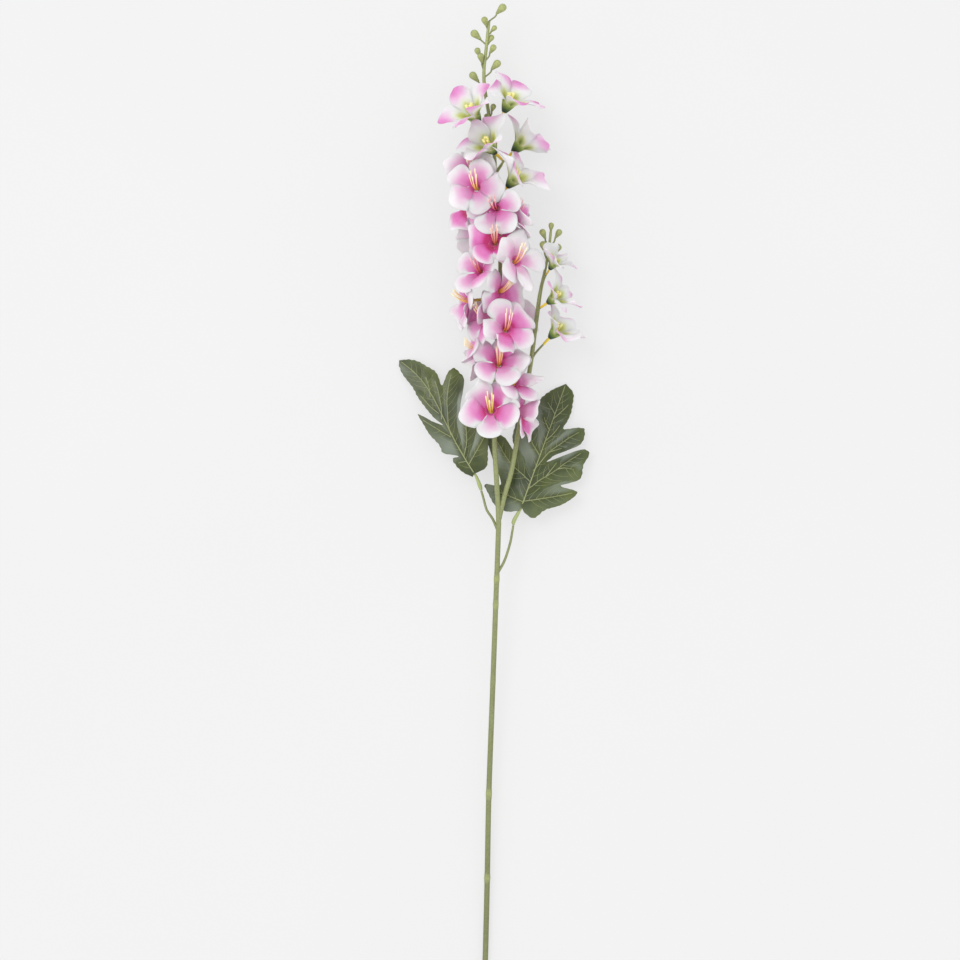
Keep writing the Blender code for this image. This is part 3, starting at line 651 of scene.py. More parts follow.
# %% Marks for the paint
def fade(low, high, value):
    """0 below low, 1 above high, and a smooth S between them."""
    share = np.clip((value - low) / (high - low), 0, 1)
    return share * share * (3 - 2 * share)


def open_paint(s, t, blush, lean):
    """Pink = cover (deep at the throat, softer outward), where cover fades slowly toward the
    margin, more on the side that the spray leaned from, and the sides stay pink near the rim."""
    side = 1 - np.abs(t - 0.5 * lean) + 1.5 * (1 - fade(0.10, 0.55, s))
    from_tip, from_side = np.maximum(1.15 * (1 - s), 0.01), np.maximum(0.9 * side, 0.01)
    edge = (from_tip ** -3.0 + from_side ** -3.0) ** (-1 / 3)
    cover = fade(-0.10, 0.34 + 0.56 * (1 - blush), edge)
    depth = 0.50 + 0.32 * blush - 0.20 * s
    throat = (0.04 + 0.34 * blush ** 2) * (1 - fade(0.0, 0.20 + 0.35 * blush, s))
    return np.minimum(cover * depth + throat, 0.92)


def young_paint(s, t, blush, lean):
    """Pink = 1 - fade with the distance from a point near the tip, off the midrib by lean."""
    apart = np.hypot(1.0 - s, 0.62 * (t - 1.1 * lean))
    return (0.30 + 0.50 * blush) * (1 - fade(0.05, 0.48 + 0.35 * blush, apart))


print("pink at an open petal's foot and tip:", open_paint(np.array([0, 1]), 0, 0.5, 0).round(2))

# %% Petals of one floret
PETAL_ROWS, PETAL_COLUMNS = 22, 18
CUP_ROWS = 7
HOLE = 2.1
BLUSH_VARIES = 0.25
LEAN_VARIES = 0.9
PETAL_SEED = 500


def petal_sheet(floret, petal, draw):
    s = np.linspace(0, 1, PETAL_ROWS + 1)[:, None]
    t = np.linspace(-1, 1, PETAL_COLUMNS + 1)[None, :]
    points = floret.point(petal_strip(floret.kind, petal, s, t, relief=petal["relief"]))
    blush = np.clip(floret.blush + draw.uniform(-BLUSH_VARIES, BLUSH_VARIES), 0, 1)
    lean = draw.uniform(-LEAN_VARIES, LEAN_VARIES)
    if floret.kind is OPEN:
        pink, green = open_paint(s, t, blush, lean), 0.0
    else:
        pink = young_paint(s, t, blush, lean)
        green = 0.80 * (1 - fade(0.0, 0.80, s)) * (1 - 0.6 * np.abs(t))
    wide = floret.kind.half_width * floret.size
    return points, {"blush": pink, "sap": green, "warp": t * wide, "weft": s * petal["long"]}


def cup_sheet(floret):
    """The cup: a ring of radius hole + (rim - hole) w at height cup w, a little bowed outward,
    with w from 0 at the hole to 1 at the rim."""
    kind = floret.kind
    w = np.linspace(0, 1, CUP_ROWS + 1)[:, None]
    steps = PETALS * PETAL_COLUMNS
    angle = floret.petals[0]["even"] - HALF_SECTOR + np.linspace(0, 2 * math.pi, steps + 1)[None, :]
    hole = HOLE + 0.3 * (1 / floret.size - 1)
    radius = hole + (kind.rim - hole) * (w + 0.07 * np.sin(math.pi * w))
    across, up = radius * np.sin(angle), radius * np.cos(angle)
    local = np.stack(np.broadcast_arrays(across, up, kind.cup * w), axis=-1)
    if kind is OPEN:
        pink, green = 0.80 + 0.18 * floret.blush - 0.10 * w ** 0.7, 0.0
    else:
        pink, green = 0.0, 1.0 - 0.46 * w
    marks = {"blush": pink, "sap": green, "warp": angle * kind.rim, "weft": kind.cup * w}
    return floret.point(local), marks


def add_petals(floret, seed):
    draw = random.Random(seed)
    sheets = [cup_sheet(floret)] + [petal_sheet(floret, petal, draw) for petal in floret.petals]
    finishes = open_cloth if floret.kind is OPEN else young_cloth
    thing = make_piece(floret.name + "_cloth", sheets, finishes, closed=False)
    thicken(thing, CLOTH, back=1)
    seat(thing, floret.name + "_petals")
    return len(thing.data.polygons)


faces = [add_petals(floret, PETAL_SEED + i) for i, floret in enumerate(florets)]
print("quads in all the petal cloth:", sum(faces))

# %% [markdown]
# ## Hearts
# A heart is one small moulding: a peg that slips over the stalk, a boss that holds the cloth, and
# a tuft of stamens that sweep toward the upper petal. The young ones are yellow. The open ones
# were dipped by hand, from yellow over orange to crimson, deep at the foot and pale at the ends.

# %% Heart finishes
def heart_finish():
    """Three dips mixed by the mark `warm`: yellow at 0, orange at 0.5, crimson at 1."""
    paint = Paint("heart_plastic", 0.5, Coat_Weight=0.1, Subsurface_Weight=0.1, Subsurface_Scale=0.001)
    along = paint.waver(paint.mark("ripe"), paint.noise(500, 2), 0.12)
    dips = YELLOW_DIP, ORANGE_DIP, CRIMSON_DIP
    yellow, orange, crimson = (paint.ramp(along, stops) for stops in dips)
    warm = paint.sums("MULTIPLY", paint.mark("warm"), 2.0)
    first = paint.sums("MINIMUM", warm, 1.0)
    second = paint.sums("SUBTRACT", warm, 1.0, clamp=True)
    color = paint.mix(second, paint.mix(first, yellow, orange), crimson)
    return paint.finish(color, paint.noise(1500, 2), 0.00008)


# From the peg (0) over the boss (0.24) to the stamens' feet (0.3) and ends (1).
YELLOW_DIP = [
    (0, (232, 204, 62)), (0.2, (196, 180, 62)), (0.3, (212, 194, 36)), (0.6, (230, 216, 70)),
    (1, (244, 236, 160)),
]
ORANGE_DIP = [
    (0, (196, 180, 82)), (0.2, (92, 62, 36)), (0.3, (222, 132, 36)), (0.5, (232, 160, 96)),
    (0.75, (240, 192, 164)), (1, (248, 232, 208)),
]
CRIMSON_DIP = [
    (0, (196, 180, 82)), (0.2, (44, 24, 20)), (0.3, (120, 28, 36)), (0.45, (196, 62, 84)),
    (0.75, (222, 110, 130)), (1, (244, 196, 200)),
]
heart_plastic = heart_finish()
print("nodes of the heart finish:", len(heart_plastic.node_tree.nodes))

# %% Hearts
HEART_SEED = 700
PEG_LENGTH = 9.5
PEG = [(-9.5, 1.0), (-9.2, 1.2), (-4, 1.3), (-3.6, 1.45), (-3.0, 1.45), (-2.6, 1.3), (0.6, 1.35)]
BOSS_TOP = 2.2
STAMEN_FOOT = 1.6


def stamen(floret, angle, draw):
    """A rod from the boss: spread (cos, sin) of its angle, plus stamen_rise share^2 toward the
    upper petal, plus its length along the facing axis. The radius swells to a knob at the end."""
    kind = floret.kind
    share = np.linspace(0, 1, 12)
    spread = np.interp(share, (0, 1), (kind.foot * 0.6, kind.end))
    long = kind.stamen * draw.uniform(0.86, 1.0)
    lean = kind.stamen_rise * draw.uniform(0.8, 1.05)
    across, up = spread * math.sin(angle), spread * math.cos(angle) + lean * share ** 2
    path = np.stack([across, up, STAMEN_FOOT + share * long], axis=-1)
    radii = kind.thick - 0.22 * share + 0.42 * np.exp(-((share - 0.95) / 0.05) ** 2)
    marks = {"ripe": down_rows(0.3 + 0.7 * share), "warm": floret.warm}
    return floret.point(tube(path, radii, 8)), marks


def add_heart(floret, seed):
    draw = random.Random(seed)
    kind = floret.kind
    rings = np.array(PEG + [(1.3, 0.75 * kind.boss), (1.9, kind.boss), (BOSS_TOP, kind.boss * 0.85)])
    rings = rings[np.argsort(rings[:, 0])]
    grid = floret.point(tube(rings[:, :1] * (0, 0, 1), rings[:, 1], 14))
    ripe = down_rows(np.where(rings[:, 0] > 0.8, 0.24, 0.0))
    sheets = [(grid, {"ripe": ripe, "warm": floret.warm})]
    sheets += [stamen(floret, 2 * math.pi * (i + 0.5) / PETALS, draw) for i in range(PETALS)]
    thing = make_piece(floret.name + "_stamens", sheets, [heart_plastic])
    seat(thing, floret.name + "_heart")


for i, floret in enumerate(florets):
    add_heart(floret, HEART_SEED + i)
print("hearts:", len(florets))

# %% [markdown]
# ## The moulded stem
# The stem, the side branch, all stalks and the buds came out of one mould, in a dull olive
# plastic that is paler toward the top. It is thickest at the cut end, has a few paler rings, and
# keeps the mould's faint grooves. Every part of it is a tube whose radius changes along its path.

# %% Stem finish
def stem_finish():
    paint = Paint("stem_plastic", 0.42, Coat_Weight=0.08, Coat_Roughness=0.3)
    cloud = paint.noise(45, 3, (1, 0.25, 1))
    tone = paint.waver(paint.mark("fresh"), cloud, 0.35)
    base = paint.ramp(tone, [
        (0, (94, 98, 56)), (0.35, (132, 138, 90)), (0.65, (150, 157, 98)), (1, (200, 204, 122)),
    ])
    speck = paint.ramp(paint.noise(700, 2), [(0.35, (226, 226, 220)), (0.6, WHITE)])
    grain = paint.noise(350, 3, (1, 0.15, 1))
    return paint.finish(paint.mix(1.0, base, speck, "MULTIPLY"), grain, 0.00012)


stem_plastic = stem_finish()
print("nodes of the stem finish:", len(stem_plastic.node_tree.nodes))

# %% Stem, branch and stalks
STEM_RADII = [(-450, 2.6), (-20, 2.4), (53, 2.3), (224, 1.9), (348, 1.7), (434, 1.4)]
BRANCH_RADII = [(-26, 2.3), (52, 2.2), (169, 2.0), (209, 1.3), (241, 1.2)]
STEM_JOINTS = [-356, -278, -211, -172, -104, -80]
JOINT_SWELL = 0.45
JOINT_WIDTH = 2.0
JOINT_PALER = 0.4
FLUTES = 0.015
PEDICEL = (1.15, 0.9)
PEDICEL_CLIMB = 13
PEDICEL_CLIMB_LOW = 9
LONG_CLIMBS = {"floret_01": 30}
PEG_GAP = 0.5
LEAF_STALKS = [
    [(2.5, -33, 28), (-1.5, -24, 27), (-7, -15.5, 24.5), (-10, -5, 22), (-12, 2, 21)],
    [(3, -74, 24.5), (9.5, -62, 25), (14.5, -46.5, 23), (16.5, -36, 21), (17.5, -30, 20)],
]


def axis_tube(line, radii, joints=()):
    """The axis with its radius read along y, and a paler, bell-shaped swelling at each joint."""
    path = smooth_line(line, 14)
    y = path[:, 1]
    bells = sum((np.exp(-((y - joint) / JOINT_WIDTH) ** 2) for joint in joints), 0 * y)
    thick = np.interp(y, *np.array(radii, float).T) + JOINT_SWELL * bells
    fresh = 0.15 + 0.5 * fade(-450, 434, y) + JOINT_PALER * bells
    return tube(path, thick, 20, flutes=FLUTES), {"fresh": down_rows(fresh)}


def pedicel_tube(floret):
    """A floret's stalk: the cubic that leaves the axis outward and up, and arrives along the
    floret's facing axis, thick where it leaves."""
    end = floret.point((0, 0, -PEG_LENGTH - PEG_GAP / floret.size))
    climb = PEDICEL_CLIMB_LOW if floret.facing[1] < -0.05 else PEDICEL_CLIMB
    root = axis_at(floret.line, end[1] - LONG_CLIMBS.get(floret.name, climb))
    outward = unit((end - root) * (1, 0, 1))
    span = np.linalg.norm(end - root)
    leave = span * (0.5 * outward + np.array([0, 0.8, 0]))
    arrive = span * 0.9 * floret.facing
    share = np.linspace(0, 1, 16)[:, None]
    path = cubic(root, leave, end, arrive, share)
    share = share[:, 0]
    radii = np.interp(share, (0, 1), PEDICEL) + 0.35 * np.exp(-((share - 0.1) / 0.12) ** 2)
    high = fade(0, 380, root[1])
    return tube(path, radii, 12), {"fresh": down_rows(0.25 + 0.35 * high + 0.3 * share * high)}


# %% Buds
# Where the stalk leaves its axis (y), the bud's middle (x, y, z) and its radius.
MAIN_BUDS = [
    (434, (7.5, 446.5, 37), 3.6), (426, (-9, 435, 40), 3.0), (421, (0, 427.5, 41), 2.4),
    (412, (-18.2, 422.5, 38), 3.6), (411, (-2.8, 419, 35), 2.7), (397, (-1, 409.5, 40), 2.9),
    (392, (-15.5, 407, 36), 2.8), (388, (-12.6, 401.5, 41), 3.0), (382, (2.5, 395, 37), 3.5),
    (372, (-19.6, 384, 39), 3.5), (345, (-1, 355, 45), 2.6), (336, (-7, 346, 47), 2.4),
]
BRANCH_BUDS = [
    (239, (52.4, 246.5, 32), 2.5), (226, (44.5, 240, 33), 3.0), (226, (59.5, 240, 31), 2.9),
    (214, (45, 228.5, 35), 3.3), (212, (58.5, 226, 33), 3.3),
]
BUD_STALK = 0.75
BUD_BOW = (0.05, -0.03)
BUD_BOW_AT = 0.4
BUD_PROFILE = [
    (-2.1, 0.34), (-1.7, 0.46), (-1.3, 0.60), (-0.9, 0.76), (-0.5, 0.91), (-0.1, 1.0),
    (0.25, 1.0), (0.55, 0.90), (0.8, 0.70), (0.97, 0.44), (1.04, 0.18),
]


def bud_tube(line, start, middle, radius):
    """A thin stalk that leaves the axis, then a pear: the profile's radius over its length."""
    root, middle = axis_at(line, start), np.array(middle, float)
    run = middle - root
    heading = unit(run)
    outward = np.array([*BUD_BOW, 0]) * np.linalg.norm(run) * np.sign(run[0])
    neck = middle + BUD_PROFILE[0][0] * radius * heading
    stalk = smooth_line([root, root + run * BUD_BOW_AT + outward, neck], 6)[:-1]
    along, thick = np.array(BUD_PROFILE).T
    pear = middle + (along * radius)[:, None] * heading
    radii = np.concatenate([np.full(len(stalk), BUD_STALK), thick * radius])
    path = np.vstack([stalk, pear])
    swell = np.concatenate([np.full(len(stalk), 0.3), 0.45 + 0.25 * thick])
    return tube(path, radii, 16), {"fresh": down_rows(swell)}


def add_stem():
    sheets = [axis_tube(STEM_LINE, STEM_RADII, STEM_JOINTS), axis_tube(BRANCH_LINE, BRANCH_RADII)]
    sheets += [pedicel_tube(floret) for floret in florets]
    sheets += [bud_tube(STEM_LINE, *row) for row in MAIN_BUDS]
    sheets += [bud_tube(BRANCH_LINE, *row) for row in BRANCH_BUDS]
    for stalk in LEAF_STALKS:
        path = smooth_line(stalk, 8)
        sheets.append((tube(path, np.linspace(1.3, 1.0, len(path)), 12), {"fresh": 0.3}))
    thing = make_piece("stem_moulding", sheets, [stem_plastic])
    seat(thing, "stem")
    return len(thing.data.polygons)


print("quads in the stem:", add_stem())

# %% [markdown]
# ## Leaves
# A leaf is cut from satin-coated cloth, with toothed lobes, and hot-pressed over a die that
# raises its veins and dishes the cloth between them. From each place on the midrib a row of
# points fans out to the two margins, and a smooth curve fills in the rows between the given ones.
# The veins are thin ridges on the same surface: the main ones follow the real leaf, and small
# ones branch off them by a rule.

# %% Leaf outlines
LEAF_CLOTH = 0.5

# Place along the midrib, then x and y of the left margin and of the right one.
LEFT_OUTLINE = [
    (-1, -3, -3, 2.5, -2), (2, -5, 0, 13, -2), (5, -8, 5, 22, 9.5), (8, -10, 13, 31, 23.5),
    (12, -9.5, 21, 26, 31.5), (16, -3.5, 20, 37, 42), (20, -7, 24, 40.5, 63.5),
    (25, -13.5, 30.5, 33, 61), (31, -12.5, 39, 19.5, 51.5), (35.5, -14.5, 51, 25, 59.5),
    (38, -14, 63, 39.5, 75.5), (41, -13, 73, 40, 84.5), (44.5, -6.5, 61.5, 38, 90.5),
    (47, 0.5, 52.2, 31, 90), (57, -2.5, 62, 20, 83), (66, -4, 75, 21.5, 91), (76, -4.5, 87, 22, 97.5),
    (88, -3.5, 97, 18, 106), (100, -4.5, 111, 14, 114), (111, -3, 120, 7.5, 120.5),
    (124.5, 0, 124.5, 0, 124.5),
]
RIGHT_OUTLINE = [
    (-3, -1, -7, 4, -7), (-1, -11, -11.5, 14, -9), (1, -23, -10, 22, 2), (3, -33, -1.5, 35.5, 12.5),
    (5, -38.5, 5.5, 44, 27), (9, -25, 10.5, 27.5, 27.5), (13, -41.5, 32, 42, 39), (17, -54, 51, 41, 53),
    (21, -37.5, 52.5, 42.5, 64.5), (25, -28, 46, 33.5, 65), (30, -21.5, 43.2, 9.3, 44.8),
    (36, -29, 53.5, 10.5, 48.5), (43, -30.8, 67.5, 13.5, 52.8), (44.5, -30.2, 69.2, 22.5, 60.5),
    (46, -28.5, 69.4, 32.5, 71), (48.5, -24.5, 69, 31.5, 83), (52, -20, 68.3, 26, 84),
    (57, -16, 67, 12.5, 78), (66, -19, 82, 13.5, 86), (78, -19, 90, 14, 94), (90, -16.5, 98, 13, 101),
    (104, -10, 108, 10, 112), (118, 0.5, 118, 0.5, 118),
]
print("given rows of the outlines:", len(LEFT_OUTLINE), len(RIGHT_OUTLINE))

# %% Leaf veins
# Each vein as a few points of its run, in the leaf's own plane.
LEFT_VEINS = [
    [(1.6, 40.2), (4.6, 49), (9.2, 57), (17, 70), (27, 81.5), (33, 87)],
    [(0.6, 38.7), (-4.7, 49.4), (-12.2, 66.0)],
    [(1.3, 18), (10.2, 27), (18, 40), (25, 50), (31, 57)],
    [(0.8, 8.8), (11, 14), (21, 19), (26.4, 22)],
    [(2.4, 57), (8, 66), (14, 80), (17, 90)], [(3.4, 63), (0.5, 72), (-1.5, 86)],
    [(5.0, 80), (9, 88), (12, 98)], [(0.5, 12), (-4, 14), (-7, 15)],
]
RIGHT_VEINS = [
    [(-0.8, 48), (-10, 55.5), (-14, 60.7), (-22, 68.5)],
    [(-1.0, 22), (-11.4, 26.5), (-21, 30.5), (-31, 37.4), (-37.6, 43.3), (-46, 49.5)],
    [(-0.3, 2.0), (-17.5, 2.8), (-29, 3)],
    [(-0.8, 32.3), (2.3, 40.4), (5.2, 49), (8.2, 55.2), (14.7, 64.3), (19.6, 71.3), (27, 80)],
    [(6.8, 52.9), (11.5, 56.6), (17, 60.5)],
    [(-0.4, 14), (3.2, 19), (7.5, 25.8), (13.8, 33.3), (19.9, 41.5), (24.2, 48.2), (35, 62)],
    [(12, 31.7), (15.2, 41), (17, 46.5)], [(20, 41.3), (25.6, 44.3), (34, 46)],
    [(0.0, 2.5), (16, 11), (32, 20), (40, 25)], [(0, 61.3), (5, 70.5), (8, 80)],
    [(-0.4, 73.1), (-4, 77), (-8, 82)], [(0.1, 88.2), (-2.2, 90.4), (-9.4, 96)],
    [(0.6, 84), (6.2, 94), (9.2, 100.5)],
]
print("drawn veins:", len(LEFT_VEINS), len(RIGHT_VEINS))

# %% Where the leaves lie
# One leaf: where its blade starts, its heading from +Y, and how it bows and sags from there.
Leaf = namedtuple("Leaf", "name base heading bow slope arch sag_left sag_right outline veins stalk")
LEAVES = [
    Leaf("left", (-19, 19, 22.5), 33.6, 7.5, -0.03, -0.00118, -0.0030, -0.0010,
         LEFT_OUTLINE, LEFT_VEINS, LEAF_STALKS[0]),
    Leaf("right", (26, -10, 21), -19.7, 0.0, -0.06, -0.00096, -0.0030, -0.0020,
         RIGHT_OUTLINE, RIGHT_VEINS, LEAF_STALKS[1]),
]


def leaf_bow(leaf, rib):
    """How far the midrib swings right of a straight line: bow sin(180 deg share^2), plus a lean."""
    long, lean = leaf.outline[-1][:2]
    share = np.maximum(rib, 0) / long
    return leaf.bow * np.sin(math.pi * share ** 2) + lean * share


def to_stem(leaf, local):
    """From a leaf's own axes to the stem's frame."""
    c, d = math.cos(math.radians(leaf.heading)), math.sin(math.radians(leaf.heading))
    return np.array(leaf.base) + np.asarray(local, float) @ np.array([[c, d, 0], [-d, c, 0], [0, 0, 1]])


def leaf_height(leaf, u, v):
    """slope v + arch v^2 along the leaf, and sag u^2 to each side."""
    sag = np.where(u < 0, leaf.sag_left, leaf.sag_right)
    return leaf.slope * v + leaf.arch * v ** 2 + sag * u ** 2


# %% Distance to the veins
RIB_SHARE = 0.985
FAR, TINY = 1e9, 1e-9


def vein_runs(leaf):
    """Every vein as a smooth run of points, the midrib first."""
    rib = np.linspace(0, RIB_SHARE * leaf.outline[-1][0], 60)
    midrib = np.stack([leaf_bow(leaf, rib), rib], axis=-1)
    return [midrib] + [smooth_line(vein, 8) for vein in leaf.veins]


def nearest_side(points, runs):
    """Distance from each point to the nearest stretch of the runs, negative to its right."""
    starts = np.vstack([run[:-1] for run in runs])
    steps = np.vstack([np.diff(run, axis=0) for run in runs])
    apart = np.full(len(points), FAR)
    for start, step in zip(starts, steps):
        share = np.clip(((points - start) @ step) / (step @ step + TINY), 0, 1)
        away = points - start - share[:, None] * step
        side = np.where(step[0] * away[:, 1] - step[1] * away[:, 0] < 0, -1, 1)
        found = np.linalg.norm(away, axis=1)
        apart = np.where(found < np.abs(apart), side * found, apart)
    return apart


def nearest(points, runs):
    return np.abs(nearest_side(points, runs))


print("points along all veins:", [sum(len(run) for run in vein_runs(leaf)) for leaf in LEAVES])

# %% Leaf blades
LEAF_STEPS = 9
LEAF_COLUMNS = 26
TOOTH = 0.7
TOOTH_PITCH = 5.2
DISH = 0.5
FOLD = 2.2
FOLD_WIDTH = 7.0


def along_run(run):
    """The length of a run up to each of its points."""
    return np.append(0, np.cumsum(np.linalg.norm(np.diff(run, axis=0), axis=1)))


def toothed(margin, middle):
    """The margin pushed out and in by a saw-tooth of its own length."""
    saw = 1 - 2 * np.abs((along_run(margin) / TOOTH_PITCH) % 1 - 0.35)
    outward = unit(margin - middle + 1e-6)
    room = fade(3, 12, np.linalg.norm(margin - middle, axis=1))
    return margin + (TOOTH * (saw - 0.5) * room)[:, None] * outward


def blade_height(leaf, u, v, apart):
    """The leaf's sag, plus a roof exp(-d / 7) whose crest is the vein at distance d, less a narrow
    groove exp(-(d / 2)^2) that the vein lies in, and a slow wave far from them."""
    roof = FOLD * (np.exp(-apart / FOLD_WIDTH) - 0.6)
    groove = DISH * np.exp(-(apart / 2.0) ** 2)
    buckle = 0.5 * np.sin(0.16 * u + 0.09 * v) * fade(4, 14, apart)
    return leaf_height(leaf, u, v) + (roof - groove) * fade(1, 6, v + 8) + buckle


def blade_sheet(leaf, runs):
    """Rows from the left margin over the midrib to the right one, as middle + (margin - middle)
    share, with share running from 0 to 1 a little faster near the midrib."""
    rows = smooth_line(leaf.outline, LEAF_STEPS)
    middle = np.stack([leaf_bow(leaf, rows[:, 0]), rows[:, 0]], axis=-1)
    share = (np.linspace(0, 1, LEAF_COLUMNS + 1) ** 0.9)[None, :, None]
    left, right = (
        middle[:, None] + (toothed(rows[:, k:k + 2], middle) - middle)[:, None] * share for k in (1, 3)
    )
    flat = np.concatenate([left[:, ::-1], right[:, 1:]], axis=1)
    u, v = flat[..., 0], flat[..., 1]
    sided = nearest_side(flat.reshape(-1, 2), runs).reshape(u.shape)
    apart = np.abs(sided)
    edge = np.concatenate([share[0, ::-1, 0], share[0, 1:, 0]])
    marks = {
        "vein": 0.55 * np.exp(-(apart / 0.7) ** 2), "hem": 0.6 * edge ** 10,
        # apart is the mask of a painted sheen: it grows away from the veins and is stronger on the left
        # of each vein, where the lamp's reflection would fall.
        "apart": fade(0.5, 5.0, apart) * (0.25 + 0.75 * fade(-1.5, 1.5, sided)),
    }
    return to_stem(leaf, np.stack([u, v, blade_height(leaf, u, v, apart)], axis=-1)), marks


# %% Veins that lie on the blade
VEINLET_PITCH = 6.5
VEINLET_LENGTH = 15.0
VEINLET_STAGGER = 2.2
VEINLET_ANGLE = 52
VEINLET_TURN = 0.035
OFF_MARGIN, OFF_VEIN = 2.0, 1.5
# A ridge's radius at its foot and at its end, and how pale it is.
MIDRIB, VEIN, VEINLET = (0.6, 0.20, 1.0), (0.36, 0.13, 0.95), (0.24, 0.10, 0.75)


def ridge(leaf, runs, run, thick, thin, pale):
    """A vein: a tube along its run on the blade, sunk by a third, that tapers to its end."""
    height = blade_height(leaf, run[:, 0], run[:, 1], nearest(run, runs))
    radii = np.linspace(thick, thin, len(run))
    path = np.column_stack([run, height + LEAF_CLOTH / 2 - 0.35 * radii])
    grid = to_stem(leaf, tube(path, radii, 6))
    return grid, {"vein": pale, "hem": 0.0, "apart": 0.0}


def inside(points, outline):
    """Whether each point lies in the closed outline: a ray to its right crosses it an odd number
    of times."""
    start, end = outline, np.roll(outline, -1, axis=0)
    u, v = points[:, 0, None], points[:, 1, None]
    spans = (start[:, 1] > v) != (end[:, 1] > v)
    with np.errstate(divide="ignore", invalid="ignore"):
        run, rise = (end - start).T
        crossing = start[:, 0] + (v - start[:, 1]) * run / rise
    return (spans & (crossing > u)).sum(axis=1) % 2 == 1


def veinlets(runs, outline):
    """Side veins by rule: along each vein, every 6.5 mm to both sides, a run that leaves at about
    52 degrees, bends toward the vein's own heading, and stops short of the margin or of another
    vein."""
    found = []
    steps = np.linspace(0, VEINLET_LENGTH, 13)
    for k, run in enumerate(runs):
        length = along_run(run)
        others = [other for m, other in enumerate(runs) if m != k]
        for n, place in enumerate(np.arange(5.0, length[-1] - 3, VEINLET_PITCH)):
            for side in (-1, 1):
                at = place + (VEINLET_STAGGER if side > 0 else 0.0)
                root, ahead = np.transpose([np.interp((at, at + 1), length, axis) for axis in run.T])
                leave = math.radians(VEINLET_ANGLE + 6 * math.sin(7 * n + k))
                turn = math.atan2(*(ahead - root)[::-1]) - side * leave + side * VEINLET_TURN * steps
                path = np.cumsum(np.stack([np.cos(turn), np.sin(turn)], axis=-1), axis=0)
                path = root + path * steps[1]
                clear = inside(path, outline) & (nearest(path, [outline]) > OFF_MARGIN)
                clear &= nearest(path, others) > OFF_VEIN
                last = len(path) if clear.all() else int(np.argmin(clear))
                if last > 4:
                    found.append(np.vstack([root, path[:last]]))
    return found


# %% Leaf finish
def leaf_finish():
    """Deep olive satin, with a painted grey sheen in broad patches left of the veins, where the lamp's
    reflection would fall, and pale along the veins.
    """
    paint = Paint("leaf_satin", 0.36, Specular_IOR_Level=0.4, Coat_Weight=0.10, Coat_Roughness=0.3)
    tone = paint.waver(paint.noise(22, 2), paint.noise(140, 3), 0.35)
    green = paint.ramp(tone, [(0.3, (36, 47, 8)), (0.5, (52, 63, 14)), (0.7, (76, 86, 30))])
    sheen_patches = paint.ramp(paint.noise(16, 1), [(0.42, (30, 30, 30)), (0.60, (215, 215, 215))])
    # Painted sheen: the mark apart, broken into patches by noise, turns the olive toward a grey satin
    # reflection, mostly left of the veins.
    painted_sheen = paint.mix(1.0, paint.mark("apart"), sheen_patches, "MULTIPLY")
    green_with_sheen = paint.mix(painted_sheen, green, linear(126, 135, 124))
    hem = paint.mix(paint.mark("hem"), green_with_sheen, linear(84, 95, 42))
    vein = paint.waver(paint.mark("vein"), paint.noise(220, 2), 0.25)
    cover = paint.ramp(vein, [(0.25, BLACK), (1, (225, 225, 225))])
    color = paint.mix(cover, hem, linear(164, 170, 122))
    return paint.finish(color, paint.noise(900, 3), 0.00006)


leaf_satin = leaf_finish()
print("nodes of the leaf finish:", len(leaf_satin.node_tree.nodes))


# %% Both leaves
def add_leaf(leaf):
    """The blade takes its node's place, and its veins lie on it as thin ridges of their own."""
    runs = vein_runs(leaf)
    name = "leaf_" + leaf.name
    thing = make_piece(name + "_cloth", [blade_sheet(leaf, runs)], [leaf_satin], closed=False)
    thicken(thing, LEAF_CLOTH)
    seat(thing, name)
    margins = smooth_line([row[1:] for row in leaf.outline], 3)
    small = veinlets(runs, np.vstack([margins[:, :2], margins[::-1, 2:]]))
    ridges = [ridge(leaf, runs, runs[0], *MIDRIB)]
    ridges += [ridge(leaf, runs, run, *VEIN) for run in runs[1:]]
    ridges += [ridge(leaf, runs, run, *VEINLET) for run in small]
    veins = make_piece(name + "_veins", ridges, [leaf_satin])
    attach(veins, "root")
    return len(thing.data.polygons), len(runs), len(small)


for leaf in LEAVES:
    print("leaf", leaf.name, "quads, veins and veinlets:", add_leaf(leaf))

# %% [markdown]
# ## Sockets
# Each leaf has a soft plastic socket: a collar that slips over the stalk, swells, and runs on as
# a rib under the midrib, where the blade is stuck to it.

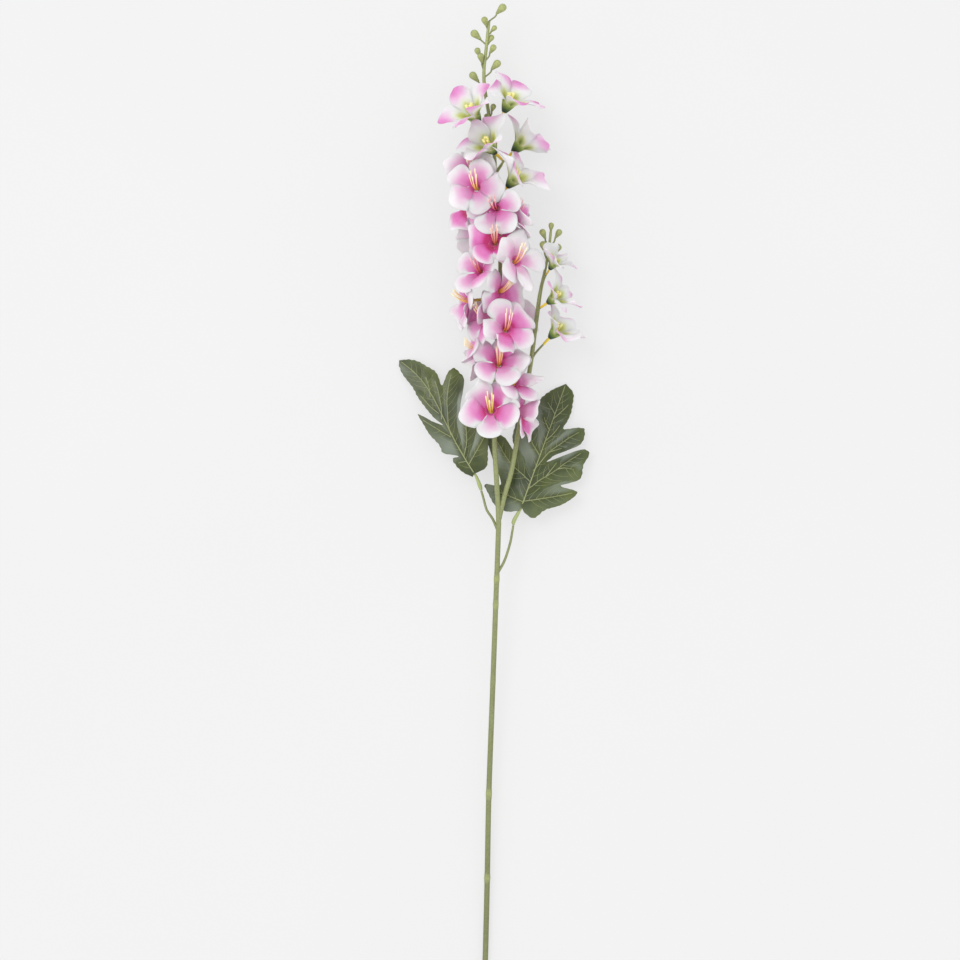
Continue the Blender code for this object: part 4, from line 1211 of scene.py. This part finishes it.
# %% Sockets
LEAF_SOLID = 0.8
LEAF_GAP = 0.35
COLLAR = [(0.5, 0.9), (1.0, 1.3), (5, 1.9)]
SOCKET_RIB = [(-3, 1.2), (8, 0.9), (22, 0.7), (38, 0.5)]


def socket_finish():
    paint = Paint("socket_plastic", 0.4, Coat_Weight=0.1)
    tone = paint.waver(paint.mark("fresh"), paint.noise(60, 2), 0.3)
    greens = [(0, (134, 144, 92)), (0.5, (152, 163, 104)), (1, (170, 180, 122))]
    return paint.finish(paint.ramp(tone, greens), paint.noise(400, 2), 0.0001)


socket_plastic = socket_finish()
for leaf in LEAVES:
    end, before = np.array(leaf.stalk[-1], float), np.array(leaf.stalk[-2], float)
    heading = unit(end - before)
    points = [(*(end + along * heading), radius) for along, radius in COLLAR]
    for rib, radius in SOCKET_RIB:
        under = leaf_height(leaf, 0.0, float(rib)) - LEAF_SOLID / 2 - LEAF_GAP - radius
        points.append((*to_stem(leaf, (leaf_bow(leaf, rib), rib, under)), radius))
    dense = smooth_line(points, 8)
    sheet = tube(dense[:, :3], dense[:, 3], 14), {"fresh": down_rows(np.linspace(0.3, 0.7, len(dense)))}
    name = "socket_" + leaf.name
    seat(make_piece(name + "_collar", [sheet], [socket_plastic]), name)
    print(name, "holds its leaf over", SOCKET_RIB[-1][0], "mm")

# %% [markdown]
# ## The floor
# The stem lies on a plain pale table top of frosted glass, lit a little from below, as product
# tables are. The glow fills the shadows, so the pale ground looks nearly even.

# %% Floor
FLOOR_GLOW = 0.62
FLOOR_GREY = (117, 117, 117)
FLOOR_CLOUD = (119, 119, 119)
FLOOR_REACH = 3000
FLOOR_LEVEL = -0.5


def add_floor():
    paint = Paint("pale_floor", 0.9, Emission_Color=(1, 1, 1, 1), Emission_Strength=FLOOR_GLOW)
    pale = paint.finish(paint.ramp(paint.noise(3, 2), [(0.3, FLOOR_GREY), (0.7, FLOOR_CLOUD)]))
    reach = FLOOR_REACH * np.linspace(-1, 1, 3)
    grid = np.stack(np.meshgrid(reach, reach, FLOOR_LEVEL), axis=-1)[:, :, 0]
    make_piece("floor", [(grid, {})], [pale], closed=False)


add_floor()
print("floor:", 2 * FLOOR_REACH, "mm square")
